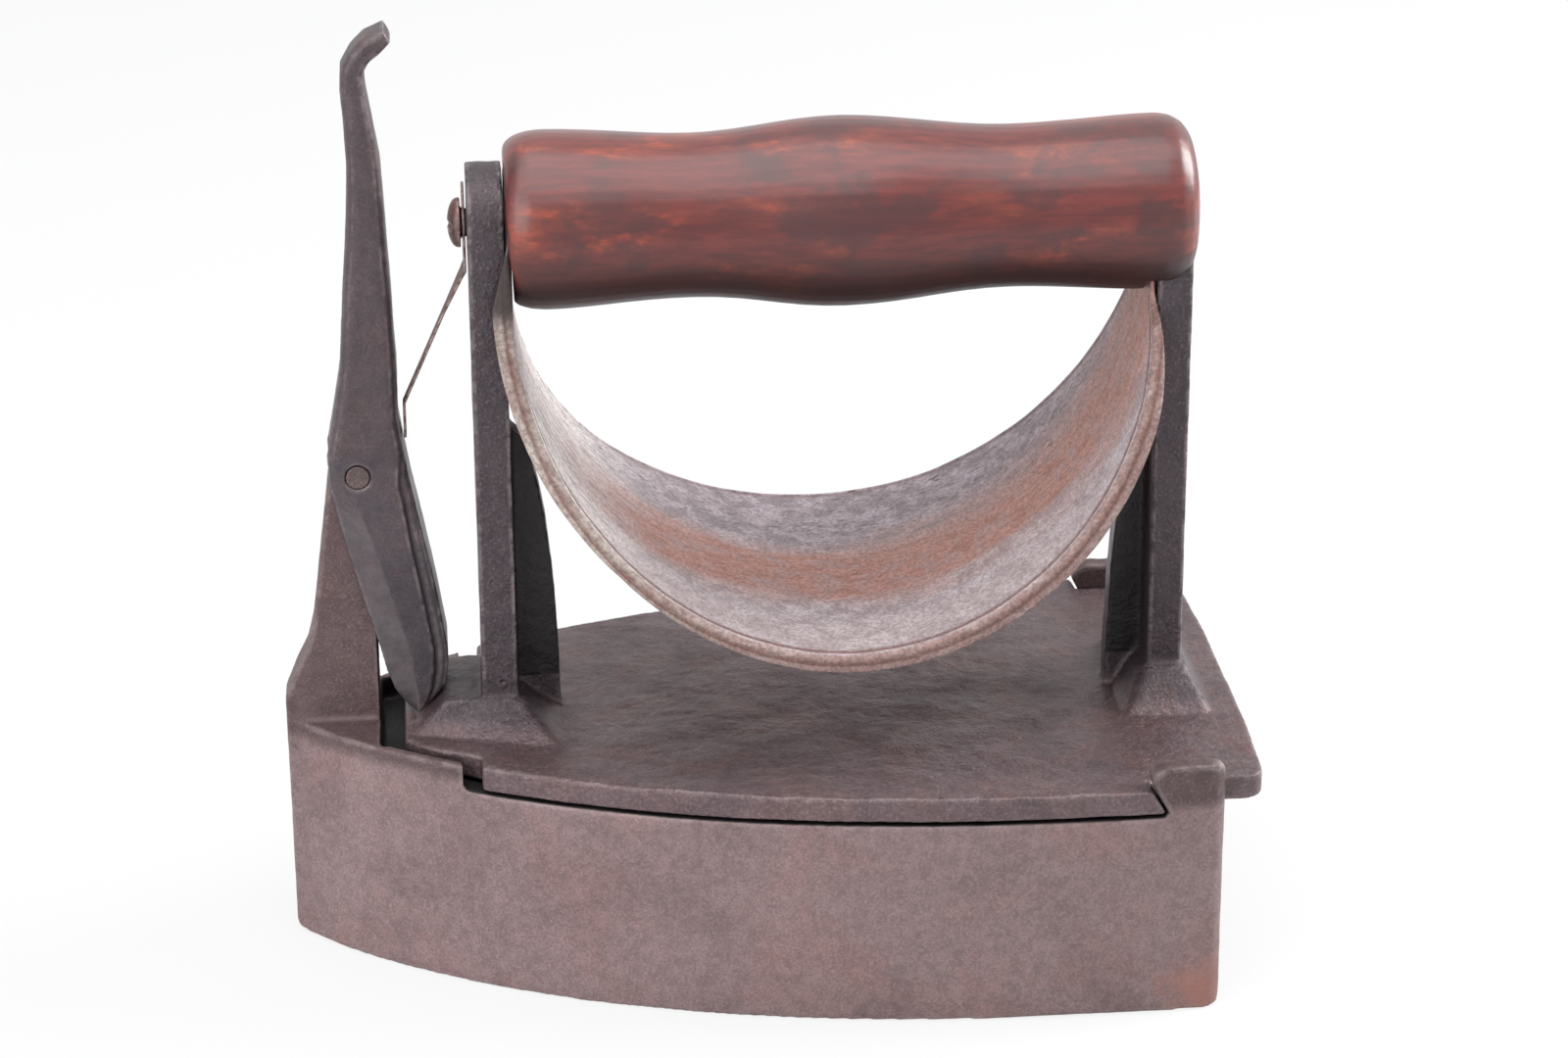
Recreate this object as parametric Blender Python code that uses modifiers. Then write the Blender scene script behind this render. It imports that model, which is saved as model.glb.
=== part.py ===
"""Slug iron: a hollow cast-iron pressing iron, warmed by a loose iron slug shut inside it.

The toe points along -X, the heel along +X, and the sole lies on Z = 0. The origin is the middle of the
sole. The lid carries both posts, the wooden grip and the sheet-metal shield. Two tongues of the lid lie under
the horns of the heel, and a thumb lever on the toe post keeps them there. Squeezing the lever draws the lid a
few millimetres toward the toe, out from under the horns, and the lid then lifts off.
"""
import math

import bmesh
import bpy
from mathutils import Matrix, Vector

MM = 0.001

# Fits shared by the whole iron
FIT_GAP = 0.3 * MM
CUT_OVERRUN = 2.0 * MM
WELD_DISTANCE = 0.001 * MM
JOIN_DEPTH = 0.8 * MM

# Base casting
SOLE_LENGTH = 165.0 * MM
SOLE_HALF_WIDTH = 49.0 * MM
BELLY_FROM_HEEL = 24.5 * MM
HEEL_NARROWING = 1.0 * MM
HEEL_CORNER_RADIUS = 3.0 * MM
TOE_BLUNT_HALF_WIDTH = 1.6 * MM
TOE_CURVE_SHARES = (2.3, 0.8)
WALL_TOP = 38.4 * MM
TOE_RISE = 4.6 * MM
WALL_THICKNESS = 5.0 * MM
SOLE_THICKNESS = 10.0 * MM
SOLE_END_RADIUS = 1.6 * MM
TOE_STEP_FROM_TOE = 31.6 * MM
TOE_RIM_THICKNESS = 2.0 * MM
CAVITY_FROM_TOE = 25.0 * MM
CAVITY_CORNER_RADIUS = 6.0 * MM

# Toe post, a blade cast on the toe in the middle plane
BLADE_THICKNESS = 7.0 * MM
BLADE_REAR_FROM_TOE = 17.2 * MM
BLADE_SHOULDER_HEIGHT = 4.8 * MM
BLADE_NECK_HEIGHT = 19.2 * MM
BLADE_NECK_SETBACK = 5.7 * MM
BLADE_TOP_SETBACK = 3.4 * MM
BLADE_TOP_RADIUS = 5.2 * MM
PIN_FROM_TOE = 14.9 * MM
PIN_ABOVE_LID = 47.7 * MM
PIN_RADIUS = 1.9 * MM

# Heel horns, which hold the lid's tongues down
HORN_NOSE_FROM_HEEL = 13.7 * MM
HORN_NOSE_RISE = 6.2 * MM
HORN_ROOT_FROM_HEEL = 10.6 * MM
HORN_ROOT_RISE = 0.9 * MM
HORN_RISE = 9.4 * MM
HORN_NOSE_RADIUS = 1.6 * MM
HORN_CORNER_RADIUS = 2.4 * MM
HORN_BREADTH = 4.6 * MM

# Lid plate
LID_THICKNESS = 4.7 * MM
LID_SEAT_GAP = 0.4 * MM
LID_TRAVEL = 3.0 * MM
TRAVEL_CLEARANCE = 0.4 * MM
LID_TAIL_OVERHANG = 7.5 * MM
LID_TAIL_CROWN = 1.0 * MM
LID_TAIL_CORNER_RADIUS = 4.0 * MM
LID_TAIL_SIDE_GAP = 0.5 * MM
LID_NOSE_FROM_TOE = 21.4 * MM
TONGUE_GAP = 0.5 * MM

# Posts
POST_HALF_WIDTH = 9.5 * MM
POST_THICKNESS = 6.3 * MM
POST_RISE = 1.1 * MM
FRONT_POST_FROM_TOE = 35.7 * MM
REAR_POST_FROM_HEEL = 1.9 * MM
RIB_THICKNESS = 4.8 * MM
FRONT_RIB_REACH = 8.0 * MM
FRONT_RIB_BELOW_GRIP = 37.5 * MM
REAR_RIB_REACH = 6.6 * MM
REAR_RIB_BELOW_GRIP = 40.0 * MM

# Feet of the posts
FRONT_FOOT_RISE = 5.5 * MM
FRONT_FOOT_TOE_REACH = 16.6 * MM
FRONT_FOOT_HEEL_REACH = 11.0 * MM
FRONT_FOOT_HALF_WIDTH = 20.5 * MM
FRONT_FOOT_TOE_HALF_WIDTH = 12.6 * MM
FRONT_FOOT_SHELF = 6.0 * MM
REAR_FOOT_RISE = 7.3 * MM
REAR_FOOT_TOE_REACH = 5.9 * MM
REAR_FOOT_HEEL_REACH = 5.4 * MM
REAR_FOOT_HALF_WIDTH = 18.3 * MM
FOOT_TOP_MARGIN = 0.9 * MM
FOOT_CROWN = 1.6 * MM
FOOT_CORNER_RADIUS = 1.0 * MM
FOOT_FLANK_POWER = 1.2

# Seat on the front foot for the nose of the lever
SEAT_HALF_WIDTH = 7.2 * MM

# Thumb lever
LEVER_HALF_WIDTH = 6.5 * MM
LEVER_DEPTH = 14.4 * MM
LEVER_ARM = 80.0 * MM
LEVER_TIP_HALF_WIDTH = 4.2 * MM
LEVER_CORNER_RADIUS = 2.2 * MM
LEVER_BEVEL_LENGTH = 5.4 * MM
LEVER_BEVEL_BREADTH = 1.8 * MM
LEVER_STRIP_BREADTH = 2.7 * MM
LEVER_STRIP_STEP = 1.2 * MM
LEVER_SLOT_HALF_WIDTH = 3.9 * MM
LEVER_SLOT_TOP_GAP = 0.6 * MM
LEVER_WEB = 3.3 * MM
LEVER_WEB_KNEE_SHARE = 0.713
LEVER_WEB_KNEE_SETBACK = 4.5 * MM

# Grip, shield, bolt and spring
GRIP_ABOVE_LID = 92.5 * MM
GRIP_REAR_PAST_POST = 2.2 * MM
GRIP_END_FLAT_RADIUS = 12.6 * MM
GRIP_FRONT_RADIUS = 15.8 * MM
GRIP_WAIST_RADIUS = 14.4 * MM
GRIP_MIDDLE_RADIUS = 16.8 * MM
GRIP_REAR_RADIUS = 15.6 * MM
GRIP_END_ROUND = 5.0 * MM
GRIP_DOME = 1.6 * MM
SHEET = 0.9 * MM
SHIELD_HALF_WIDTH = 38.6 * MM
SHIELD_AXIS_BELOW_GRIP = 12.4 * MM
SHIELD_FRONT_TAB_HALF_WIDTH = 12.0 * MM
SHIELD_REAR_TAB_HALF_WIDTH = 9.2 * MM
SHIELD_LIP = 3.2 * MM
SHIELD_LIP_GROWTH = 2.2
SHIELD_GRIP_GAP = 1.14 * MM
SHIELD_SPREAD_SHARES = (1.2, 0.65)
BOLT_RADIUS = 2.5 * MM
BOLT_HEAD_RADIUS = 4.4 * MM
BOLT_HEAD_HEIGHT = 2.3 * MM
BOLT_SLOT_WIDTH = 1.1 * MM
BOLT_SLOT_DEPTH = 1.0 * MM
SPRING_THICKNESS = 0.5 * MM
SPRING_HALF_WIDTH = 3.7 * MM
SPRING_WAIST_HALF_WIDTH = 1.3 * MM
SPRING_TIP_HALF_WIDTH = 2.2 * MM
SPRING_BOW = 0.5 * MM
SPRING_RISE = 6.4 * MM
SPRING_BEND_BELOW_GRIP = 9.0 * MM
SPRING_TIP_LENGTH = 6.1 * MM
SPRING_TIP_ABOVE_PIN = 5.7 * MM

# Slug
SLUG_SIDE_GAP = 3.0 * MM
SLUG_HEADROOM = 5.8 * MM
SLUG_EYE_RADIUS = 7.0 * MM
SLUG_EYE_FROM_MIDDLE = 42.0 * MM

# Places worked out from the sizes above
HEEL_X = SOLE_LENGTH / 2
TOE_X = -HEEL_X
BELLY_X = HEEL_X - BELLY_FROM_HEEL
STEP_X = TOE_X + TOE_STEP_FROM_TOE
BLADE_REAR_X = TOE_X + BLADE_REAR_FROM_TOE
PIN_X = TOE_X + PIN_FROM_TOE
LID_BOTTOM = WALL_TOP + LID_SEAT_GAP
LID_TOP = LID_BOTTOM + LID_THICKNESS
TOE_TOP = WALL_TOP + TOE_RISE
HORN_NOSE_HEIGHT = WALL_TOP + HORN_NOSE_RISE
HORN_ROOT_HEIGHT = WALL_TOP + HORN_ROOT_RISE
HORN_TOP = WALL_TOP + HORN_RISE
HORN_INNER_HALF_WIDTH = SOLE_HALF_WIDTH - HORN_BREADTH
FRONT_FOOT_TOP = LID_TOP + FRONT_FOOT_RISE
REAR_FOOT_TOP = LID_TOP + REAR_FOOT_RISE
PIN_HEIGHT = LID_TOP + PIN_ABOVE_LID
GRIP_HEIGHT = LID_TOP + GRIP_ABOVE_LID
FRONT_RIB_TOP = GRIP_HEIGHT - FRONT_RIB_BELOW_GRIP
REAR_RIB_TOP = GRIP_HEIGHT - REAR_RIB_BELOW_GRIP
LID_NOSE_X = TOE_X + LID_NOSE_FROM_TOE
LID_STEP_X = STEP_X + LID_TRAVEL + TRAVEL_CLEARANCE
FRONT_POST_X = TOE_X + FRONT_POST_FROM_TOE
FRONT_POST_REAR_X = FRONT_POST_X + POST_THICKNESS
REAR_POST_REAR_X = HEEL_X - REAR_POST_FROM_HEEL
REAR_POST_X = REAR_POST_REAR_X - POST_THICKNESS
SHIELD_OUTER_RADIUS = (REAR_POST_X - FRONT_POST_REAR_X) / 2 - FIT_GAP
SHIELD_X = (REAR_POST_X + FRONT_POST_REAR_X) / 2
SHIELD_AXIS_HEIGHT = GRIP_HEIGHT - SHIELD_AXIS_BELOW_GRIP
SHIELD_TAB_DEPTH = max(GRIP_FRONT_RADIUS, GRIP_REAR_RADIUS) + SHIELD_GRIP_GAP - SHIELD_AXIS_BELOW_GRIP
SHIELD_TAB_SHARE = max(0.0, SHIELD_TAB_DEPTH) / (SHIELD_OUTER_RADIUS - SHEET / 2)
GRIP_FRONT_X = FRONT_POST_REAR_X + FIT_GAP
GRIP_RECESS_X = FRONT_POST_REAR_X + FIT_GAP + SHEET + FIT_GAP
GRIP_REAR_X = REAR_POST_REAR_X + GRIP_REAR_PAST_POST
SPRING_FACE_X = FRONT_POST_X - FIT_GAP
SPRING_TOP = GRIP_HEIGHT + SPRING_RISE
SPRING_BEND = GRIP_HEIGHT - SPRING_BEND_BELOW_GRIP
SPRING_TIP_BOTTOM = PIN_HEIGHT + SPRING_TIP_ABOVE_PIN
SPRING_TIP_TOP = SPRING_TIP_BOTTOM + SPRING_TIP_LENGTH
SLUG_TOP = LID_BOTTOM - SLUG_HEADROOM

# How finely curves are divided
OUTLINE_STEPS = 24
ARC_STEPS = 8
TURN_STEPS = 40

SMOOTH_ANGLE = math.radians(32)


def reset_scene():
    """Empties the scene and makes one collection for the parts and one for the cutters."""
    for item in list(bpy.data.objects):
        bpy.data.objects.remove(item, do_unlink=True)
    made = []
    for name in ("slug_iron", "cutters"):
        collection = bpy.data.collections.new(name)
        bpy.context.scene.collection.children.link(collection)
        made.append(collection)
    return made


PARTS, CUTTERS = reset_scene()


def finish_material(name, colour, roughness, metallic):
    """One Principled finish for one piece."""
    material = bpy.data.materials.new(name)
    material.use_nodes = True
    shader = material.node_tree.nodes["Principled BSDF"]
    shader.inputs["Base Color"].default_value = (*colour, 1.0)
    shader.inputs["Roughness"].default_value = roughness
    shader.inputs["Metallic"].default_value = metallic
    return material


def keep_part(piece, material):
    """Moves a finished piece into the iron's collection and dresses it."""
    for holder in list(piece.users_collection):
        holder.objects.unlink(piece)
    PARTS.objects.link(piece)
    piece.data.materials.clear()
    piece.data.materials.append(material)
    piece.data.shade_smooth()
    piece.data.set_sharp_from_angle(angle=SMOOTH_ANGLE)
    return piece


def set_origin(piece, place):
    """Moves a piece's origin to a place and leaves the piece where it is."""
    shift = Vector(place) - piece.location
    piece.data.transform(Matrix.Translation(-shift))
    piece.location = Vector(place)


def keep_cutter(piece):
    """Moves a helper into the cutters' collection, where it is never drawn as a part."""
    for holder in list(piece.users_collection):
        holder.objects.unlink(piece)
    CUTTERS.objects.link(piece)
    piece.hide_render = True
    piece.display_type = "WIRE"
    return piece


def mesh_piece(name, shape):
    """An object from a bmesh, with its faces turned outward."""
    bmesh.ops.remove_doubles(shape, verts=shape.verts, dist=WELD_DISTANCE)
    bmesh.ops.recalc_face_normals(shape, faces=shape.faces)
    mesh = bpy.data.meshes.new(name)
    shape.to_mesh(mesh)
    shape.free()
    piece = bpy.data.objects.new(name, mesh)
    bpy.context.scene.collection.objects.link(piece)
    return piece


def flat_plate(name, outline, half_thickness, frame):
    """A closed outline, extruded to both sides of its plane, as a welded mesh in the given frame."""
    curve = bpy.data.curves.new(name, "CURVE")
    curve.dimensions = "2D"
    curve.fill_mode = "BOTH"
    curve.extrude = half_thickness
    spline = curve.splines.new("POLY")
    spline.points.add(len(outline) - 1)
    for point, (across, along) in zip(spline.points, outline):
        point.co = (across, along, 0, 1)
    spline.use_cyclic_u = True
    drawn = bpy.data.objects.new(name + "_outline", curve)
    bpy.context.scene.collection.objects.link(drawn)
    mesh = bpy.data.meshes.new_from_object(drawn.evaluated_get(bpy.context.evaluated_depsgraph_get()))
    bpy.data.objects.remove(drawn)
    shape = bmesh.new()
    shape.from_mesh(mesh)
    bpy.data.meshes.remove(mesh)
    shape.transform(frame)
    return mesh_piece(name, shape)


def side_frame(middle_y=0.0):
    """Carries an outline drawn in (x, z) into the upright plane along the iron."""
    return Matrix.Translation((0, middle_y, 0)) @ Matrix.Rotation(math.radians(90), 4, "X")


def plan_frame(middle_z):
    """Carries an outline drawn in (x, y) to a height."""
    return Matrix.Translation((0, 0, middle_z))


def cross_frame(middle_x):
    """Carries an outline drawn in (y, z) into the upright plane across the iron."""
    turn = Matrix(((0, 0, 1, 0), (1, 0, 0, 0), (0, 1, 0, 0), (0, 0, 0, 1)))
    return Matrix.Translation((middle_x, 0, 0)) @ turn


def side_plate(name, outline, half_thickness, middle_y=0.0):
    return flat_plate(name, outline, half_thickness, side_frame(middle_y))


def plan_plate(name, outline, bottom, top):
    return flat_plate(name, outline, (top - bottom) / 2, plan_frame((top + bottom) / 2))


def cross_plate(name, outline, front, rear):
    return flat_plate(name, outline, (rear - front) / 2, cross_frame((rear + front) / 2))


def combine(piece, other, operation):
    """Cuts, joins or intersects a piece with a helper through a Boolean modifier."""
    keep_cutter(other)
    step = piece.modifiers.new(other.name, "BOOLEAN")
    step.operation = operation
    step.solver = "EXACT"
    step.object = other
    return piece


def cut(piece, other):
    return combine(piece, other, "DIFFERENCE")


def join(piece, other):
    return combine(piece, other, "UNION")


def arc(centre, radius, start, end, steps=ARC_STEPS):
    """Points on an arc, its angles in degrees."""
    points = []
    for index in range(steps + 1):
        angle = math.radians(start + (end - start) * index / steps)
        points.append((centre[0] + radius * math.cos(angle), centre[1] + radius * math.sin(angle)))
    return points


def round_rod(name, radius, start, end):
    """A plain round rod between two points."""
    start, end = Vector(start), Vector(end)
    shape = bmesh.new()
    bmesh.ops.create_cone(shape, cap_ends=True, segments=TURN_STEPS, radius1=radius, radius2=radius,
                          depth=(end - start).length)
    turn = Vector((0, 0, 1)).rotation_difference(end - start).to_matrix().to_4x4()
    shape.transform(Matrix.Translation((start + end) / 2) @ turn)
    return mesh_piece(name, shape)


def turned_piece(name, profile, height):
    """A profile of (x, radius), written from the heel end to the toe end, turned about a level axis."""
    shape = bmesh.new()
    rim = [shape.verts.new((along, 0, radius)) for along, radius in profile]
    for first, second in zip(rim, rim[1:]):
        shape.edges.new((first, second))
    mesh = bpy.data.meshes.new(name)
    shape.to_mesh(mesh)
    shape.free()
    piece = bpy.data.objects.new(name, mesh)
    bpy.context.scene.collection.objects.link(piece)
    piece.location = (0, 0, height)
    turn = piece.modifiers.new("turn", "SCREW")
    turn.axis = "X"
    turn.steps = TURN_STEPS
    turn.render_steps = TURN_STEPS
    turn.use_merge_vertices = True
    turn.merge_threshold = WELD_DISTANCE
    turn.use_normal_calculate = True
    return piece


def half_width(along):
    """Half the breadth of the sole at a place along it: full at the belly, drawn in to the toe in a long curve."""
    if along >= BELLY_X:
        return SOLE_HALF_WIDTH - HEEL_NARROWING * ((along - BELLY_X) / BELLY_FROM_HEEL) ** 2
    share = (BELLY_X - along) / (BELLY_X - TOE_X)
    power, flattening = TOE_CURVE_SHARES
    return SOLE_HALF_WIDTH * max(0.0, 1 - share ** power) ** flattening


def outline_side(inset, start, end, steps=OUTLINE_STEPS):
    """Points along the +Y side of the sole's outline moved inward, from start to end, closer near the toe."""
    points = []
    for index in range(steps + 1):
        share = index / steps
        along = start + (end - start) * share ** 1.5
        slope_step = SOLE_LENGTH / 400
        slope = (half_width(along + slope_step) - half_width(along - slope_step)) / (2 * slope_step)
        length = math.hypot(1, slope)
        points.append((along + inset * slope / length, half_width(along) - inset / length))
    return points


def mirrored(points):
    """The same points on the -Y side, in the opposite order, to close an outline."""
    return [(along, -across) for along, across in reversed(points)]


def rounded_heel(points, heel, radius):
    """Ends a side line in a round corner at the heel."""
    across = points[-1][1]
    return points[:-1] + arc((heel - radius, across - radius), radius, 90, 0, 5)


def sole_outline(inset, toe, heel, corner):
    """The closed plan outline, moved inward and cut off at the toe and heel."""
    side = outline_side(inset, toe, heel)
    side = [point for point in side if point[0] < heel - corner] + [(heel, side[-1][1])]
    side = rounded_heel(side, heel, corner)
    return side + mirrored(side)


def horn_underside(height):
    """The place along the iron of the horn's slanting underside at a height."""
    share = (height - HORN_ROOT_HEIGHT) / (HORN_NOSE_HEIGHT - HORN_ROOT_HEIGHT)
    return HEEL_X - HORN_ROOT_FROM_HEEL + share * (HORN_ROOT_FROM_HEEL - HORN_NOSE_FROM_HEEL)


def base_side_outline():
    """The base seen from the side: toe block, step, wall top, undercut horn and heel."""
    nose = HEEL_X - HORN_NOSE_FROM_HEEL
    undercut = [(horn_underside(WALL_TOP), WALL_TOP)]
    nose_round = arc((nose + HORN_NOSE_RADIUS, HORN_NOSE_HEIGHT + HORN_NOSE_RADIUS / 2),
                     HORN_NOSE_RADIUS, 215, 120, 5)
    crown = [(nose + 2 * HORN_NOSE_RADIUS, HORN_TOP)]
    heel_round = arc((HEEL_X - HORN_CORNER_RADIUS, HORN_TOP - HORN_CORNER_RADIUS), HORN_CORNER_RADIUS, 90, 0, 5)
    toe_wear = arc((TOE_X + SOLE_END_RADIUS, SOLE_END_RADIUS), SOLE_END_RADIUS, 270, 180, 4)
    heel_wear = arc((HEEL_X - SOLE_END_RADIUS, SOLE_END_RADIUS), SOLE_END_RADIUS, 0, -90, 4)
    return (toe_wear + [(TOE_X, TOE_TOP), (STEP_X, TOE_TOP), (STEP_X, WALL_TOP)]
            + undercut + nose_round + crown + heel_round + heel_wear)


def blade_outline():
    """The toe post from the side: a stout foot, a neck and a round end about the pin."""
    shoulder = TOE_TOP + BLADE_SHOULDER_HEIGHT
    neck = TOE_TOP + BLADE_NECK_HEIGHT
    neck_x = TOE_X + BLADE_NECK_SETBACK
    return ([(TOE_X, WALL_TOP), (TOE_X, shoulder),
             (TOE_X + BLADE_NECK_SETBACK * 0.4, shoulder + (neck - shoulder) * 0.38),
             (TOE_X + BLADE_NECK_SETBACK * 0.8, shoulder + (neck - shoulder) * 0.68),
             (neck_x, neck)]
            + arc((PIN_X, PIN_HEIGHT), BLADE_TOP_RADIUS, 172, 0, 10)
            + [(BLADE_REAR_X + BLADE_TOP_SETBACK * 0.2, PIN_HEIGHT - 3 * BLADE_TOP_RADIUS),
               (BLADE_REAR_X, neck), (BLADE_REAR_X, WALL_TOP)])


def toe_edge_trim():
    """The plan outline of the base, blunted at the very toe to a narrow edge."""
    side = outline_side(0.0, TOE_X, HEEL_X)
    side = [point for point in side if point[1] > TOE_BLUNT_HALF_WIDTH]
    side = [(TOE_X, TOE_BLUNT_HALF_WIDTH)] + side
    side = [point for point in side if point[0] < HEEL_X - HEEL_CORNER_RADIUS] + [(HEEL_X, side[-1][1])]
    side = rounded_heel(side, HEEL_X, HEEL_CORNER_RADIUS)
    return side + mirrored(side)


def make_base():
    """The casting that holds the slug: sole, walls, toe post and heel horns in one."""
    base = plan_plate("base_casting", toe_edge_trim(), 0.0, HORN_TOP + CUT_OVERRUN)
    combine(base, side_plate("base_side", base_side_outline(), SOLE_HALF_WIDTH + CUT_OVERRUN), "INTERSECT")
    cavity = sole_outline(WALL_THICKNESS, TOE_X + CAVITY_FROM_TOE, HEEL_X - WALL_THICKNESS, CAVITY_CORNER_RADIUS)
    cut(base, plan_plate("base_cavity", cavity, SOLE_THICKNESS, HORN_TOP + 2 * CUT_OVERRUN))
    rim = outline_side(TOE_RIM_THICKNESS, BLADE_REAR_X, STEP_X + TOE_RIM_THICKNESS + CUT_OVERRUN)
    rim = [point for point in rim if point[0] > BLADE_REAR_X]
    rim = [(BLADE_REAR_X, rim[0][1])] + rim
    cut(base, plan_plate("toe_shelf", rim + mirrored(rim), WALL_TOP, HORN_TOP + 2 * CUT_OVERRUN))
    horn_gap = [(STEP_X + CUT_OVERRUN, HORN_INNER_HALF_WIDTH), (HEEL_X + CUT_OVERRUN, HORN_INNER_HALF_WIDTH)]
    cut(base, plan_plate("horn_gap", horn_gap + mirrored(horn_gap), WALL_TOP, HORN_TOP + 2 * CUT_OVERRUN))
    join(base, side_plate("toe_blade", blade_outline(), BLADE_THICKNESS / 2))
    cut(base, round_rod("blade_pin_hole", PIN_RADIUS + FIT_GAP, (PIN_X, -LEVER_HALF_WIDTH, PIN_HEIGHT),
                        (PIN_X, LEVER_HALF_WIDTH, PIN_HEIGHT)))
    return keep_part(base, finish_material("cast_iron_base", (0.13, 0.092, 0.085), 0.62, 0.75))


def lid_outline():
    """The lid from above: narrow nose in the toe, full width over the walls, narrower tail between the horns."""
    tongue_end = horn_underside(LID_BOTTOM) + CUT_OVERRUN
    tail_half = HORN_INNER_HALF_WIDTH - LID_TAIL_SIDE_GAP
    tail_end = HEEL_X + LID_TAIL_OVERHANG
    flank = outline_side(0.0, LID_STEP_X, tongue_end)
    flank_start = (LID_STEP_X, half_width(LID_STEP_X))
    rim_line = outline_side(TOE_RIM_THICKNESS + TRAVEL_CLEARANCE, LID_NOSE_X - LID_TRAVEL, LID_STEP_X - LID_TRAVEL)
    nose = [(along + LID_TRAVEL, across) for along, across in rim_line[::4]]
    nose += [(LID_STEP_X, nose[-1][1])]
    side = [(LID_NOSE_X, nose[0][1] - TOE_RIM_THICKNESS)] + nose[1:] + [flank_start] + flank[1:]
    side += [(tongue_end, tail_half)]
    side += arc((tail_end - LID_TAIL_CORNER_RADIUS, tail_half - LID_TAIL_CORNER_RADIUS),
                LID_TAIL_CORNER_RADIUS, 90, 8, 5)
    side += [(tail_end + LID_TAIL_CROWN * 0.8, tail_half * 0.45)]
    return side + mirrored(side)


def tongue_clearance():
    """The part of the lid's flank that the horns take, slanted like their underside."""
    low = (horn_underside(LID_BOTTOM - CUT_OVERRUN) - TONGUE_GAP, LID_BOTTOM - CUT_OVERRUN)
    high = (horn_underside(LID_TOP + CUT_OVERRUN) - TONGUE_GAP, LID_TOP + CUT_OVERRUN)
    far = HEEL_X + 2 * LID_TAIL_OVERHANG
    return [low, (far, low[1]), (far, high[1]), high]


def post_outline(bottom):
    """A post from the front: a flat bar with a round top about the bolt."""
    return ([(-POST_HALF_WIDTH, bottom), (POST_HALF_WIDTH, bottom)]
            + arc((0, GRIP_HEIGHT + POST_RISE), POST_HALF_WIDTH, 0, 180, 16))


def rib_outline(root, reach, top, bottom):
    """A stiffening rib on a post's face: it swells from nothing at its top to its full reach at the foot."""
    points = [(root - math.copysign(JOIN_DEPTH, reach), bottom)]
    points.append((root - math.copysign(JOIN_DEPTH, reach), top))
    for index in range(9):
        share = index / 8
        points.append((root + reach * math.sin(share * math.pi / 2) ** 0.8, top - (top - bottom) * share ** 1.6))
    return points


def foot_block(name, front, rear, half_across, top_front, top_rear, top_height):
    """A tapered foot, wide on the lid and drawn in to the post."""
    shape = bmesh.new()
    bmesh.ops.create_cube(shape, size=1.0)
    bottom = LID_TOP - JOIN_DEPTH
    for corner in shape.verts:
        upper = corner.co.z > 0
        low_x, high_x = (top_front, top_rear) if upper else (front, rear)
        half = POST_HALF_WIDTH + FOOT_TOP_MARGIN if upper else half_across
        corner.co = Vector((high_x if corner.co.x > 0 else low_x,
                            math.copysign(half, corner.co.y),
                            top_height if upper else bottom))
    piece = mesh_piece(name, shape)
    soften = piece.modifiers.new("soften", "BEVEL")
    soften.width = FOOT_CROWN
    soften.segments = 3
    soften.limit_method = "ANGLE"
    return piece


def foot_tent(name, post_middle, toe_reach, heel_reach, toe_half, heel_half, shelf, top_height):
    """A four-sided foot: its creases run from the post's corners out to its own corners on the lid."""
    post_half = POST_THICKNESS / 2 + FOOT_TOP_MARGIN
    top_half = POST_HALF_WIDTH + FOOT_TOP_MARGIN
    base_corners = ((heel_reach, heel_half), (-toe_reach, toe_half), (-toe_reach, -toe_half), (heel_reach, -heel_half))
    top_corners = ((post_half, top_half), (-post_half - shelf, top_half),
                   (-post_half - shelf, -top_half), (post_half, -top_half))
    levels = [(LID_TOP - JOIN_DEPTH, 1.0)]
    levels += [(LID_TOP + (top_height - LID_TOP) * share, (1 - share) ** FOOT_FLANK_POWER)
               for share in (0, 0.2, 0.4, 0.6, 0.8, 1.0)]
    shape = bmesh.new()
    rings = []
    for height, spread in levels:
        ring = []
        for index, (base, top) in enumerate(zip(base_corners, top_corners)):
            corner = (Vector(top) + (Vector(base) - Vector(top)) * spread)
            centre = corner - Vector((math.copysign(FOOT_CORNER_RADIUS, corner.x),
                                      math.copysign(FOOT_CORNER_RADIUS, corner.y)))
            for turn in (5, 45, 85):
                angle = math.radians(90 * index + turn)
                ring.append(shape.verts.new((post_middle + centre.x + FOOT_CORNER_RADIUS * math.cos(angle),
                                             centre.y + FOOT_CORNER_RADIUS * math.sin(angle), height)))
        rings.append(ring)
    for lower, upper in zip(rings, rings[1:]):
        for index in range(len(lower)):
            following = (index + 1) % len(lower)
            shape.faces.new((lower[index], lower[following], upper[following], upper[index]))
    shape.faces.new(rings[0][::-1])
    shape.faces.new(rings[-1])
    return mesh_piece(name, shape)


def lever_seat():
    """The notch in the front foot where the lever's nose bears, parallel to the nose with the fit's gap."""
    low, high = nose_line()
    drop = FIT_GAP / math.cos(math.atan2(high[1] - low[1], high[0] - low[0]))
    slope = (high[1] - low[1]) / (high[0] - low[0])
    front = LID_NOSE_X - CUT_OVERRUN
    rear = FRONT_POST_X - CUT_OVERRUN
    top = max(FRONT_FOOT_TOP, high[1] + FIT_GAP) + CUT_OVERRUN
    return [(front, LID_TOP), (low[0] + (LID_TOP - low[1] + drop) / slope, LID_TOP),
            (high[0] + FIT_GAP, high[1] - drop + slope * FIT_GAP),
            (high[0] + 2 * FIT_GAP, high[1] + FIT_GAP),
            (min(rear, high[0] + 2 * FIT_GAP + CUT_OVERRUN / 2), top), (front, top)]


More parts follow.
